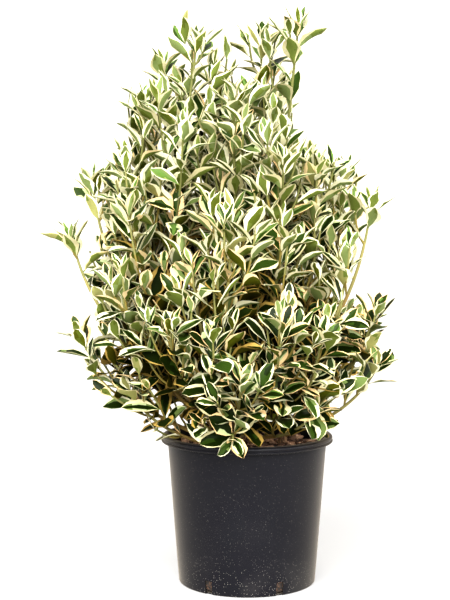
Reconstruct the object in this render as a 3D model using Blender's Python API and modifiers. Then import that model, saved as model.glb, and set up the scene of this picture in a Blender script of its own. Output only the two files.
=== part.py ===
"""Potted variegated spindle shrub, one metre tall, in a black nursery pot.

Metres, +Z up. The origin is at the centre of the pot's flat underside, and the shrub's fullest
side faces -Y. Six stems rise from flat cuts on the soil. Boughs leave them, and each bough or
stem ends at the foot of a leafy shoot, which is one solid: its twigs and leaves fused.
"""

import math
import random
from collections import namedtuple

import bmesh
import bpy
from mathutils import Matrix, Vector
from mathutils.bvhtree import BVHTree
from mathutils.geometry import interpolate_bezier
from mathutils.kdtree import KDTree

SEED = 41
UP = Vector((0, 0, 1))
GAP = 0.0003  # between pieces that touch on the real plant
MERGE = 0.00001  # corners closer than this are one
SLIVER = 0.000002  # edges shorter than this are closed up
SHARP_ANGLE = math.radians(40)

# The pot: a tapered body, a flat lip that turns down all round, and drain slots at its foot.
POT_HEIGHT = 0.259
LIP_RADIUS = 0.150
LIP_DROP = 0.012
LIP_ROUND = 0.003
LIP_FACETS = 3
POT_TOP_RADIUS = 0.1397
POT_FOOT_RADIUS = 0.1197
FOOT_CHAMFER = 0.003
POT_WALL = 0.0022
POT_FLOOR = 0.003
POT_STEPS = 36
SLOT_COUNT = 6
SLOT_TURN = math.radians(-122.5)
SLOT_WIDTH = 0.0135
SLOT_HEIGHT = 0.024
SLOT_DEPTH = 0.020

# The soil fills the pot to a little under the rim.
SOIL_LEVEL = 0.240
SOIL_EDGE_DIP = 0.004
SOIL_SLOPE = 0.030

# Stems: foot on the soil, and the fork at the top where the leading shoot begins.
Stem = namedtuple("Stem", "foot fork foot_radius")
STEMS = {
    "centre": Stem((0.012, -0.008), (0.036, -0.012, 0.490), 0.0068),
    "left": Stem((-0.078, -0.050), (-0.116, -0.055, 0.480), 0.0066),
    "back": Stem((-0.004, 0.052), (0.012, 0.056, 0.500), 0.0064),
    "left_back": Stem((-0.058, 0.020), (-0.150, 0.022, 0.450), 0.0060),
    "right": Stem((0.062, 0.004), (0.118, 0.012, 0.430), 0.0062),
    "front": Stem((-0.022, -0.062), (-0.034, -0.104, 0.370), 0.0056),
}
STEM_TOP_RADIUS = 0.0040
STEM_FLARE = 0.0030
STEM_FLARE_HEIGHT = 0.014
STEM_CUT_HEIGHT = 0.006
STEM_SIDES = 6
STEM_POINTS = 7

# Shoots: the stem each grows from, the height where it leaves that stem (None where it carries on
# from the fork), its tip, and whether a bare bough comes before its leaves.
Shoot = namedtuple("Shoot", "stem leaves_at tip bough")
SHOOTS = {
    "right_crest": Shoot("centre", None, (0.087, -0.020, 0.962), False),
    "left_crest": Shoot("left", None, (-0.087, -0.030, 0.934), False),
    "middle_crest": Shoot("back", None, (0.026, 0.030, 0.949), False),
    "left_shoulder": Shoot("left_back", None, (-0.179, -0.010, 0.841), False),
    "right_shoulder": Shoot("right", None, (0.173, 0.030, 0.716), False),
    "front_middle": Shoot("front", None, (-0.025, -0.150, 0.629), False),
    "left_peak": Shoot("left_back", 0.400, (-0.148, 0.060, 0.903), True),
    "inner_peak": Shoot("back", 0.400, (-0.058, 0.020, 0.899), True),
    "front_peak": Shoot("centre", 0.360, (-0.027, -0.070, 0.834), True),
    "left_side": Shoot("left", 0.330, (-0.204, -0.060, 0.734), True),
    "left_arm": Shoot("left_back", 0.310, (-0.271, 0.020, 0.695), True),
    "left_wing": Shoot("left", 0.312, (-0.299, -0.050, 0.605), True),
    "left_middle": Shoot("left", 0.294, (-0.210, -0.100, 0.520), False),
    "right_front": Shoot("right", 0.340, (0.118, -0.060, 0.720), True),
    "right_arm": Shoot("right", 0.370, (0.212, -0.020, 0.656), True),
    "right_middle": Shoot("right", 0.330, (0.165, -0.110, 0.560), False),
    "right_wing": Shoot("right", 0.275, (0.219, -0.060, 0.476), True),
    "front_right": Shoot("centre", 0.300, (0.059, -0.110, 0.723), True),
    "front_left": Shoot("front", 0.310, (-0.090, -0.150, 0.560), True),
    "back_peak": Shoot("back", 0.350, (-0.030, 0.140, 0.800), True),
    "back_left": Shoot("left_back", 0.340, (-0.130, 0.160, 0.700), True),
    "back_right": Shoot("back", 0.310, (0.110, 0.150, 0.690), True),
    "back_middle": Shoot("back", 0.280, (0.010, 0.215, 0.520), True),
    "left_low": Shoot("left", 0.262, (-0.280, -0.090, 0.435), False),
    "left_foot": Shoot("left", 0.250, (-0.194, -0.120, 0.350), False),
    "front_left_low": Shoot("left", 0.300, (-0.125, -0.180, 0.455), False),
    "front_low": Shoot("front", 0.300, (-0.062, -0.190, 0.420), False),
    "front_foot": Shoot("front", 0.275, (-0.010, -0.220, 0.375), False),
    "rim_front": Shoot("front", 0.250, (-0.023, -0.185, 0.278), False),
    "front_nose": Shoot("centre", 0.285, (0.057, -0.200, 0.457), False),
    "front_right_low": Shoot("right", 0.262, (0.119, -0.170, 0.440), False),
    "right_foot": Shoot("centre", 0.252, (0.116, -0.145, 0.325), False),
    "right_low": Shoot("right", 0.252, (0.220, -0.090, 0.390), False),
    "back_right_low": Shoot("right", 0.290, (0.205, 0.090, 0.450), False),
    "back_right_foot": Shoot("back", 0.256, (0.120, 0.175, 0.400), False),
    "back_left_low": Shoot("left_back", 0.265, (-0.165, 0.175, 0.430), False),
    "back_foot": Shoot("back", 0.250, (-0.030, 0.200, 0.370), False),
}
BARE_SHARE = 0.24
START_DROP = math.radians(16)
END_RISE = math.radians(26)
MOST_CLIMB = math.radians(84)
ARCHED_BELOW = math.radians(20)
CURVE_PULL = 0.36
COURSE_POINTS = 48
BOUGH_STEP = 0.030
SHOOT_STEP = 0.045
SPACE_STEP = 0.012
BOUGH_SIDES = 6
BOUGH_RADIUS = 0.0034
BOUGH_TAPER = 0.82
SHOOT_RADIUS = 0.0021
SHOOT_RADIUS_GAIN = 0.0028
TWIG_TIP_RADIUS = 0.0011
TWIG_RADIUS = 0.0015
TWIG_SIDES = 3

# Leaf pairs: close together at a tip, and a quarter turn between one pair and the next.
LEAF_LENGTH = 0.071
LEAF_WIDTH = 0.54
LEAF_THICKNESS = 0.024
LEAF_WIDEST = 0.54
LEAF_FOLD = 0.07
LEAF_DROOP = 0.07
TIP_BARE = 0.004
FOOT_BARE = 0.016
FIRST_SPACING = 0.010
SPACING_GROWTH = 1.5
MOST_SPACING = 0.054
YOUNG_LENGTH = 0.50
LENGTH_PER_PAIR = 0.18
YOUNG_SPREAD = math.radians(20)
SPREAD_PER_PAIR = math.radians(10)
MOST_SPREAD = math.radians(58)
SUNWARD = 0.30
LEAF_LIFT = 0.10
LENGTH_PLAY = 0.12
ANGLE_PLAY = math.radians(9)

# Side twigs leave the shoot above a leaf.
SIDE_TWIG_FIRST = 3
SIDE_TWIG_EVERY = 5
SIDE_TWIG_SPREAD = math.radians(44)
SIDE_TWIG_LENGTH = 0.056
SIDE_TWIG_GAIN = 0.007
SIDE_TWIG_ONWARD = 0.5
SIDE_TWIG_RISE = 0.3
SIDE_SPACING_GROWTH = 2.2

# Each mass keeps to the space nearer to its own shoot than to any other.
SPACE_SLACK = 0.006
ROOT_SHARE = 0.24
CLEAR_WIDTH = 1.05
CLEAR_THICKNESS = 2.2

Leaf = namedtuple("Leaf", "matrix length")


class Path:
    """A chain of straight stretches, read by the distance from its foot."""

    def __init__(self, points):
        self.points = [Vector(point) for point in points]
        self.marks = [0.0]
        for start, end in zip(self.points, self.points[1:]):
            self.marks.append(self.marks[-1] + (end - start).length)
        self.length = self.marks[-1]

    def at(self, distance):
        """The point and the direction at a distance."""
        index = 0
        while index < len(self.marks) - 2 and self.marks[index + 1] < distance:
            index += 1
        start, end = self.points[index], self.points[index + 1]
        direction = (end - start).normalized()
        return start + direction * (distance - self.marks[index]), direction

    def cut(self, first, last, step):
        """The points from one distance to another, about a step apart."""
        count = max(2, round((last - first) / step))
        return [self.at(first + (last - first) * i / count)[0] for i in range(count + 1)]


def material(name, color, roughness, metallic=0.0):
    made = bpy.data.materials.new(name)
    made.use_nodes = True
    shader = made.node_tree.nodes["Principled BSDF"]
    shader.inputs["Base Color"].default_value = (*color, 1.0)
    shader.inputs["Roughness"].default_value = roughness
    shader.inputs["Metallic"].default_value = metallic
    made.diffuse_color = (*color, 1.0)
    return made


def collection(name):
    made = bpy.data.collections.new(name)
    bpy.context.scene.collection.children.link(made)
    return made


def placed(name, mesh, home, finish=None):
    """A new object of this mesh in a collection, in one material."""
    obj = bpy.data.objects.new(name, mesh)
    home.objects.link(obj)
    if finish:
        mesh.materials.clear()
        mesh.materials.append(finish)
    return obj


def guide(obj):
    """Marks an object as a cutter or a guide, which isn't part of the plant."""
    obj.hide_render = True
    obj.display_type = "WIRE"
    return obj


def mesh_of(bm, name):
    mesh = bpy.data.meshes.new(name)
    bm.to_mesh(mesh)
    bm.free()
    return mesh


def smooth(mesh):
    mesh.shade_smooth()
    mesh.set_sharp_from_angle(angle=SHARP_ANGLE)


def turned(name, profile, steps, home, finish):
    """A turned solid: a profile of (radius, height) points and a Screw round the Z axis."""
    bm = bmesh.new()
    corners = [bm.verts.new((radius, 0, height)) for radius, height in profile]
    for start, end in zip(corners, corners[1:]):
        bm.edges.new((start, end))
    obj = placed(name, mesh_of(bm, name), home, finish)
    screw = obj.modifiers.new("turn", "SCREW")
    screw.angle = math.tau
    screw.steps = steps
    screw.render_steps = steps
    screw.use_merge_vertices = True
    screw.merge_threshold = MERGE
    screw.use_smooth_shade = True
    return obj


def wall_radius(height):
    """The outer radius of the pot's body at a height."""
    return POT_FOOT_RADIUS + (POT_TOP_RADIUS - POT_FOOT_RADIUS) * height / POT_HEIGHT


def arc(centre, radius, start, end, count):
    """Points of a rounded corner in (radius, height), from one angle to another."""
    angles = [start + (end - start) * i / count for i in range(count + 1)]
    return [(centre[0] + radius * math.cos(a), centre[1] + radius * math.sin(a)) for a in angles]


def make_pot(home, cutters):
    """The pot: one turned wall with a turned-down lip, and six drain slots cut at its foot."""
    skirt_foot = POT_HEIGHT - LIP_DROP
    inner_top = wall_radius(POT_HEIGHT) - POT_WALL
    shelf = POT_HEIGHT - POT_WALL
    profile = [
        (0, POT_FLOOR),
        (wall_radius(POT_FLOOR) - POT_WALL, POT_FLOOR),
        *arc((inner_top + LIP_ROUND, POT_HEIGHT - LIP_ROUND), LIP_ROUND, math.pi, math.pi / 2, LIP_FACETS),
        *arc((LIP_RADIUS - LIP_ROUND, POT_HEIGHT - LIP_ROUND), LIP_ROUND, math.pi / 2, 0, LIP_FACETS),
        (LIP_RADIUS, skirt_foot),
        (LIP_RADIUS - POT_WALL, skirt_foot),
        (LIP_RADIUS - POT_WALL, shelf),
        (wall_radius(shelf), shelf),
        (POT_FOOT_RADIUS, FOOT_CHAMFER),
        (POT_FOOT_RADIUS - FOOT_CHAMFER, 0),
        (0, 0),
    ]
    finish = material("black_pot_plastic", (0.020, 0.020, 0.022), 0.62)
    pot = turned("pot", profile, POT_STEPS, home, finish)
    for number in range(SLOT_COUNT):
        turn = Matrix.Rotation(SLOT_TURN + number * math.tau / SLOT_COUNT, 4, "Z")
        middle = Matrix.Translation((POT_FOOT_RADIUS, 0, 0))
        size = Matrix.Diagonal((SLOT_DEPTH, SLOT_WIDTH, 2 * SLOT_HEIGHT, 1))
        bm = bmesh.new()
        bmesh.ops.create_cube(bm, size=1, matrix=turn @ middle @ size)
        slot = guide(placed(f"slot_{number + 1}", mesh_of(bm, "slot"), cutters))
        cut = pot.modifiers.new(slot.name, "BOOLEAN")
        cut.operation = "DIFFERENCE"
        cut.object = slot
    return pot


def make_soil(home):
    """The soil: it fills the pot, flat round the stems and a little lower at the wall."""
    inside = POT_WALL + GAP
    floor = POT_FLOOR + GAP
    edge = SOIL_LEVEL - SOIL_EDGE_DIP
    flat = wall_radius(SOIL_LEVEL) - SOIL_SLOPE
    profile = [
        (0, SOIL_LEVEL),
        (flat, SOIL_LEVEL),
        (wall_radius(edge) - inside, edge),
        (wall_radius(floor) - inside, floor),
        (0, floor),
    ]
    finish = material("potting_soil", (0.045, 0.028, 0.018), 0.95)
    return turned("soil", profile, POT_STEPS, home, finish)


def limb_mesh(name, points, radii, sides, home, section=None):
    """A tapering limb: a curve with filled caps, made a mesh and its caps welded."""
    curve = bpy.data.curves.new(name, "CURVE")
    curve.dimensions = "3D"
    curve.use_fill_caps = True
    if section:
        curve.bevel_mode = "OBJECT"
        curve.bevel_object = section
    else:
        curve.bevel_depth = 1.0
        curve.bevel_resolution = sides // 2 - 2
    spline = curve.splines.new("POLY")
    spline.points.add(len(points) - 1)
    for knot, place, radius in zip(spline.points, points, radii):
        knot.co = (*place, 1)
        knot.radius = radius
    made = placed(name + "_course", curve, home)
    bpy.context.view_layer.update()
    mesh = bpy.data.meshes.new_from_object(made.evaluated_get(bpy.context.evaluated_depsgraph_get()))
    bpy.data.objects.remove(made)
    bm = bmesh.new()
    bm.from_mesh(mesh)
    bmesh.ops.remove_doubles(bm, verts=bm.verts, dist=MERGE)
    bmesh.ops.recalc_face_normals(bm, faces=bm.faces)
    bpy.data.meshes.remove(mesh)
    return mesh_of(bm, name)


def taper(count, foot, tip):
    return [foot + (tip - foot) * i / (count - 1) for i in range(count)]


def stem_path(stem):
    """The stem's course: straight up from its flat cut, then leaning to the fork."""
    foot = Vector((*stem.foot, SOIL_LEVEL + GAP))
    above = foot + UP * STEM_CUT_HEIGHT
    fork = Vector(stem.fork)
    lean = (fork - above).normalized()
    pull = (fork - above).length * CURVE_PULL
    curve = interpolate_bezier(above, above + UP * pull, fork - lean * pull, fork, STEM_POINTS)
    return Path([foot, *curve])


def stem_radii(stem, path, grown=0.0):
    """The radius at each point of a stem, with the root flare at its foot."""
    radii = []
    for mark in path.marks:
        straight = stem.foot_radius + (STEM_TOP_RADIUS - stem.foot_radius) * mark / path.length
        radii.append(straight + STEM_FLARE * math.exp(-mark / STEM_FLARE_HEIGHT) + grown)
    return radii


def make_stem(name, stem, home, cutters, finish):
    """One stem, and a copy of it that is a gap larger, which cuts the feet of its boughs."""
    path = stem_path(stem)
    mesh = limb_mesh(name, path.points, stem_radii(stem, path), STEM_SIDES, home)
    smooth(mesh)
    placed("stem_" + name, mesh, home, finish)
    larger = limb_mesh(name, path.points, stem_radii(stem, path, GAP), STEM_SIDES, home)
    sleeve = guide(placed("sleeve_" + name, larger, cutters))
    return path, sleeve


def shoot_course(shoot, stem):
    """The whole course of a bough and its shoot, from the stem's axis or fork to the tip."""
    tip = Vector(shoot.tip)
    if shoot.leaves_at is None:
        start, away = stem.at(stem.length)
        start = start + away * GAP
    else:
        share = (shoot.leaves_at - SOIL_LEVEL) / (stem.points[-1].z - SOIL_LEVEL)
        start = stem.at(stem.length * share)[0]
    level = Vector((tip.x - start.x, tip.y - start.y, 0))
    climb = math.atan2(tip.z - start.z, level.length)
    level.normalize()
    leave, arrive = climb - START_DROP, min(climb + END_RISE, MOST_CLIMB)
    if climb < ARCHED_BELOW:
        leave, arrive = climb + START_DROP, climb - END_RISE
    if shoot.leaves_at is not None:
        away = level * math.cos(leave) + UP * math.sin(leave)
    into = level * math.cos(arrive) + UP * math.sin(arrive)
    pull = (tip - start).length * CURVE_PULL
    return Path(interpolate_bezier(start, start + away * pull, tip - into * pull, tip, COURSE_POINTS))


def shoot_radius(length):
    return SHOOT_RADIUS + SHOOT_RADIUS_GAIN * length


def outward(direction, turn):
    """The sideways direction at a turn round a twig."""
    return UP.rotation_difference(direction) @ Vector((math.cos(turn), math.sin(turn), 0))


def leaf_at(root, direction, turn, spread, length, roll):
    """A leaf on its root: its matrix turns a leaf that lies along Y, face up, and sizes it."""
    side = outward(direction, turn)
    blade = direction * math.cos(spread) + side * math.sin(spread)
    blade = (blade + UP * LEAF_LIFT).normalized()
    face = direction * math.sin(spread) - side * math.cos(spread) + UP * SUNWARD
    face = (face - blade * face.dot(blade)).normalized()
    across = blade.cross(face)
    turned_leaf = Matrix((across, blade, face)).transposed() @ Matrix.Rotation(roll, 3, "Y")
    return Leaf(Matrix.Translation(root) @ (turned_leaf * length).to_4x4(), length)


def pair_places(length, growth):
    """Distances along a twig to its leaf pairs, from the tip down."""
    places = []
    place = length - TIP_BARE
    spacing = FIRST_SPACING
    while place > FOOT_BARE:
        places.append(place)
        place -= spacing
        spacing = min(spacing * growth, MOST_SPACING)
    return places


def leaves_of(path, growth, first_turn, rng):
    """The leaves of one twig, pair by pair from its tip."""
    leaves = []
    for pair, place in enumerate(pair_places(path.length, growth)):
        root, direction = path.at(place)
        spread = min(YOUNG_SPREAD + SPREAD_PER_PAIR * pair, MOST_SPREAD)
        length = LEAF_LENGTH * min(YOUNG_LENGTH + LENGTH_PER_PAIR * pair, 1.0)
        for half in range(2):
            turn = first_turn + pair * math.pi / 2 + half * math.pi
            leaves.append(
                leaf_at(
                    root,
                    direction,
                    turn + rng.uniform(-ANGLE_PLAY, ANGLE_PLAY),
                    spread + rng.uniform(-ANGLE_PLAY, ANGLE_PLAY),
                    length * (1 + rng.uniform(-LENGTH_PLAY, LENGTH_PLAY)),
                    rng.uniform(-ANGLE_PLAY, ANGLE_PLAY),
                )
            )
    return leaves


def side_twig(path, pair, place, first_turn, rng):
    """A short twig that leaves the shoot above one leaf of a pair and bends up with it."""
    root, direction = path.at(place)
    turn = first_turn + pair * math.pi / 2 + math.pi * rng.randrange(2)
    side = outward(direction, turn)
    length = (SIDE_TWIG_LENGTH + SIDE_TWIG_GAIN * pair) * (1 + rng.uniform(-LENGTH_PLAY, LENGTH_PLAY))
    away = direction * math.cos(SIDE_TWIG_SPREAD) + side * math.sin(SIDE_TWIG_SPREAD)
    later = (away + direction * SIDE_TWIG_ONWARD + UP * SIDE_TWIG_RISE).normalized()
    middle = root + away * length / 2
    return Path([root, middle, middle + later * length / 2])


def box_tree(mesh, matrix=None):
    matrix = matrix or Matrix()
    corners = [matrix @ corner.co for corner in mesh.vertices]
    return BVHTree.FromPolygons(corners, [face.vertices[:] for face in mesh.polygons])


def leaf_mesh(name, root_share=0.0, wider=1.0, thicker=1.0):
    """A leaf of eight faces, one unit long: folded along its rib, with its tip turned down."""
    bm = bmesh.new()
    bmesh.ops.create_uvsphere(bm, u_segments=4, v_segments=2, radius=1)
    for corner in bm.verts:
        x, y, z = (round(value) for value in corner.co)
        if z:
            end = 1 if z > 0 else 0
            corner.co = (0, root_share + end * (1 - root_share), -LEAF_DROOP * end)
        elif x:
            corner.co = (x * LEAF_WIDTH * wider / 2, LEAF_WIDEST, LEAF_FOLD)
        else:
            corner.co = (0, LEAF_WIDEST, y * LEAF_THICKNESS * thicker / 2)
    bmesh.ops.recalc_face_normals(bm, faces=bm.faces)
    return mesh_of(bm, name)


class Spaces:
    """Which places in the crown are free: it knows every limb, leaf and shoot course."""

    def __init__(self, courses, limbs):
        self.limbs = limbs
        self.filled = []
        self.owners = []
        self.tree = KDTree(sum(len(points) for points in courses.values()))
        for name, points in courses.items():
            for point in points:
                self.tree.insert(point, len(self.owners))
                self.owners.append(name)
        self.tree.balance()

    def is_own(self, name, point):
        """Whether a point is nearer to this shoot than to any other, within the slack."""
        nearest = self.tree.find(point)[2]
        found = self.tree.find_n(point, len(self.owners))
        own = next(distance for _, number, distance in found if self.owners[number] == name)
        return own <= nearest + SPACE_SLACK

    def is_clear(self, name, tree):
        """Whether a twig or leaf touches no other mass and no limb but its own."""
        if any(tree.overlap(other) for other in self.filled):
            return False
        return not any(tree.overlap(limb) for key, limb in self.limbs.items() if key != name)


def inner_parts(bm):
    """The connected groups of faces of a mesh."""
    left = set(bm.faces)
    groups = []
    while left:
        group = set()
        edge = [left.pop()]
        while edge:
            face = edge.pop()
            group.add(face)
            near = {other for side in face.edges for other in side.link_faces} & left
            left -= near
            edge.extend(near)
        groups.append(group)
    return groups


def joined(trunk, pieces, solver):
    """One union of a trunk with all the pieces of a collection, or None where it isn't closed."""
    union = trunk.modifiers.new("union", "BOOLEAN")
    union.operation = "UNION"
    union.operand_type = "COLLECTION"
    union.collection = pieces
    union.solver = solver
    bpy.context.view_layer.update()
    graph = bpy.context.evaluated_depsgraph_get()
    mesh = bpy.data.meshes.new_from_object(trunk.evaluated_get(graph))
    trunk.modifiers.remove(union)
    bm = bmesh.new()
    bm.from_mesh(mesh)
    bpy.data.meshes.remove(mesh)
    bmesh.ops.triangulate(bm, faces=bm.faces)
    bmesh.ops.dissolve_degenerate(bm, edges=bm.edges, dist=SLIVER)
    groups = sorted(inner_parts(bm), key=len)
    scraps = [face for group in groups[:-1] for face in group]
    bmesh.ops.delete(bm, geom=scraps, context="FACES")
    closed = all(len(side.link_faces) == 2 for side in bm.edges)
    if closed and bm.calc_volume(signed=True) > 0:
        return mesh_of(bm, trunk.name)
    bm.free()
    return None


def make_mass(name, path, trunk_mesh, spaces, shapes, homes, finish, index):
    """One leafy shoot: its twigs and leaves grown, tested against what is there, and fused."""
    rng = random.Random(SEED + index)
    first_turn = rng.uniform(0, math.pi)
    own_trees = []
    kept = []

    def touches_own(tree):
        return any(tree.overlap(other) for other in own_trees)

    def keep_leaf(leaf):
        blade = box_tree(shapes["blade"], leaf.matrix)
        if not spaces.is_own(name, leaf.matrix @ Vector((0, LEAF_WIDEST, 0))) or touches_own(blade):
            return
        if spaces.is_clear(name, box_tree(shapes["room"], leaf.matrix)):
            own_trees.append(blade)
            kept.append(leaf)

    for leaf in leaves_of(path, SPACING_GROWTH, first_turn, rng):
        keep_leaf(leaf)
    twigs = []
    for pair, place in enumerate(pair_places(path.length, SPACING_GROWTH)):
        if pair < SIDE_TWIG_FIRST or (pair - SIDE_TWIG_FIRST) % SIDE_TWIG_EVERY:
            continue
        twig_rng = random.Random(f"{SEED} {name} {pair}")
        twig = side_twig(path, pair, place, first_turn, twig_rng)
        radii = [TWIG_RADIUS, TWIG_RADIUS, TWIG_TIP_RADIUS]
        mesh = limb_mesh("twig", twig.points, radii, TWIG_SIDES, homes["work"], shapes["section"])
        past_root = [twig.at(twig.length * ROOT_SHARE)[0], *twig.points[1:]]
        wider = [radius + GAP for radius in radii]
        beyond = limb_mesh("twig", past_root, wider, TWIG_SIDES, homes["work"], shapes["section"])
        tree = box_tree(beyond)
        bpy.data.meshes.remove(beyond)
        own = spaces.is_own(name, twig.points[-1]) and not touches_own(tree)
        if own and spaces.is_clear(name, box_tree(mesh)):
            own_trees.append(tree)
            twigs.append(mesh)
            for leaf in leaves_of(twig, SIDE_SPACING_GROWTH, twig_rng.uniform(0, math.pi), twig_rng):
                keep_leaf(leaf)
        else:
            bpy.data.meshes.remove(mesh)

    trunk = placed("leaves_" + name, trunk_mesh, homes["plant"], finish)
    for mesh in twigs:
        placed("side_twig", mesh, homes["pieces"])
    for leaf in kept:
        placed("leaf", shapes["leaf"], homes["pieces"]).matrix_world = leaf.matrix
    mesh = None
    while mesh is None:
        mesh = joined(trunk, homes["pieces"], "EXACT") or joined(trunk, homes["pieces"], "MANIFOLD")
        if mesh is None:
            bpy.data.objects.remove(homes["pieces"].objects[-1])
    for piece in list(homes["pieces"].objects):
        bpy.data.objects.remove(piece)
    mesh.materials.append(finish)
    trunk.data = mesh
    spaces.filled.append(box_tree(mesh))
    return trunk


def cut_foot(obj, sleeve):
    """Cuts the foot of a limb to the stem's surface, a gap clear of it."""
    cut = obj.modifiers.new("foot_cut", "BOOLEAN")
    cut.operation = "DIFFERENCE"
    cut.object = sleeve


def make_bough(name, course, sleeve, home, finish):
    """One bare bough, from the side of its stem to the foot of its shoot."""
    length = course.length * BARE_SHARE
    points = course.cut(0, length, BOUGH_STEP)
    radii = taper(len(points), BOUGH_RADIUS, BOUGH_RADIUS * BOUGH_TAPER)
    mesh = limb_mesh(name, points, radii, BOUGH_SIDES, home)
    smooth(mesh)
    bough = placed("bough_" + name, mesh, home, finish)
    cut_foot(bough, sleeve)
    direction = (points[-1] - points[-2]).normalized()
    return mesh, points[-1] + direction * GAP, length


def twig_section(home):
    """The section of a twig, with a few flat sides, as a guide curve."""
    curve = bpy.data.curves.new("twig_section", "CURVE")
    curve.dimensions = "2D"
    spline = curve.splines.new("POLY")
    spline.points.add(TWIG_SIDES - 1)
    spline.use_cyclic_u = True
    for number, corner in enumerate(spline.points):
        turn = number * math.tau / TWIG_SIDES
        corner.co = (math.cos(turn), math.sin(turn), 0, 1)
    return guide(placed("twig_section", curve, home))


def main():
    for obj in list(bpy.data.objects):
        bpy.data.objects.remove(obj)
    homes = {
        "plant": collection("potted_spindle_shrub"),
        "cutters": collection("cutters"),
        "work": collection("work"),
        "pieces": collection("pieces"),
    }
    bark = material("stem_bark", (0.22, 0.14, 0.075), 0.8)
    green_bark = material("bough_bark", (0.25, 0.22, 0.09), 0.7)
    foliage = material("variegated_leaf", (0.30, 0.36, 0.16), 0.45)
    pot = make_pot(homes["plant"], homes["cutters"])
    soil = make_soil(homes["plant"])
    section = twig_section(homes["cutters"])

    bpy.context.view_layer.update()
    graph = bpy.context.evaluated_depsgraph_get()
    limbs = {}
    for obj in (pot, soil):
        limbs[obj.name] = box_tree(obj.evaluated_get(graph).to_mesh())
    stems = {}
    for name, stem in STEMS.items():
        stems[name] = make_stem(name, stem, homes["plant"], homes["cutters"], bark)
        limbs["stem " + name] = box_tree(stems[name][1].data)

    paths = {}
    trunks = {}
    for name, shoot in SHOOTS.items():
        stem, sleeve = stems[shoot.stem]
        course = shoot_course(shoot, stem)
        first = 0.0
        points = []
        if shoot.bough:
            mesh, start, first = make_bough(name, course, sleeve, homes["plant"], green_bark)
            limbs["bough " + name] = box_tree(mesh)
            points = [start]
        rest = course.cut(first, course.length, SHOOT_STEP)
        paths[name] = Path(points + rest[1:] if shoot.bough else rest)
        foot = shoot_radius(paths[name].length)
        radii = taper(len(paths[name].points), foot, TWIG_TIP_RADIUS)
        trunks[name] = limb_mesh(name, paths[name].points, radii, TWIG_SIDES, homes["work"], section)
        limbs[name] = box_tree(trunks[name])

    spaces = Spaces({name: path.cut(0, path.length, SPACE_STEP) for name, path in paths.items()}, limbs)
    shapes = {
        "leaf": leaf_mesh("leaf"),
        "blade": leaf_mesh("leaf_blade", ROOT_SHARE),
        "room": leaf_mesh("leaf_room", 0, CLEAR_WIDTH, CLEAR_THICKNESS),
        "section": section,
    }
    for index, (name, path) in enumerate(paths.items()):
        mass = make_mass(name, path, trunks[name], spaces, shapes, homes, foliage, index)
        if SHOOTS[name].leaves_at is not None and not SHOOTS[name].bough:
            cut_foot(mass, stems[SHOOTS[name].stem][1])


main()
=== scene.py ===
"""Potted variegated spindle shrub: its pot, soil, limbs and leaves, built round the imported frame.

Metres, +Z up. The origin is at the centre of the pot's flat underside, and the shrub's fullest side
faces -Y. The limbs and the leaves grow by the same seeded rule as the solids, carried on to finer
twigs and to smaller leaves inside the same outline.
"""

import math
import random
from collections import namedtuple
from itertools import product

import bmesh
import bpy
import numpy as np
from bpy.props import FloatProperty, FloatVectorProperty, IntProperty, PointerProperty
from mathutils import Matrix, Vector, noise
from mathutils.bvhtree import BVHTree
from mathutils.geometry import interpolate_bezier
from mathutils.kdtree import KDTree


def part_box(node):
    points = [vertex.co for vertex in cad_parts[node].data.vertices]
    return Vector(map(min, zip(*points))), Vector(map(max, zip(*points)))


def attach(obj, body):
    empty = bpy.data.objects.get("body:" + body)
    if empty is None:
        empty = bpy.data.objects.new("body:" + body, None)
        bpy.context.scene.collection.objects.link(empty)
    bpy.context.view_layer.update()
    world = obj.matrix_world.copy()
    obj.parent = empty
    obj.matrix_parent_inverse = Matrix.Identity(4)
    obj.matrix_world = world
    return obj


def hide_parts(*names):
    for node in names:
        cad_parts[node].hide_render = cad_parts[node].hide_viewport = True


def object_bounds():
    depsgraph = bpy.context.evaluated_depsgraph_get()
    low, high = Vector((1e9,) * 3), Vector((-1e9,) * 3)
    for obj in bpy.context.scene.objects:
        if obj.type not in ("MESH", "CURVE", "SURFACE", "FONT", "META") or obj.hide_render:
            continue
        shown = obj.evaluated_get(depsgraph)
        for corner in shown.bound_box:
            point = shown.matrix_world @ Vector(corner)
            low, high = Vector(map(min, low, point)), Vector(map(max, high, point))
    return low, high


bl_info = {
    "name": "Potted Spindle Shrub",
    "version": (1, 0, 0),
    "blender": (4, 5, 0),
    "location": "View3D > Sidebar > Spindle",
    "description": "Models a one-metre variegated evergreen spindle in its nursery pot",
    "category": "Add Mesh",
}

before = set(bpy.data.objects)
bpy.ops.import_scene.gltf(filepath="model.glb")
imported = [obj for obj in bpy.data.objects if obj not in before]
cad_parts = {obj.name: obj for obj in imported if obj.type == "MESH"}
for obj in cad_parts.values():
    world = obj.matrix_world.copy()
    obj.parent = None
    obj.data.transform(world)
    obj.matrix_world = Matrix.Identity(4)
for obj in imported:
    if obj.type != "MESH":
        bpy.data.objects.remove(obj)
CAD_LOW, CAD_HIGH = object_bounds()
POT_LOW, POT_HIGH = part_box("pot")
SOIL_LOW, SOIL_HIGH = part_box("soil")

UP = Vector((0, 0, 1))
GAP = 0.0003  # between pieces that touch on the real plant
MERGE = 0.00001  # corners closer than this are one

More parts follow.
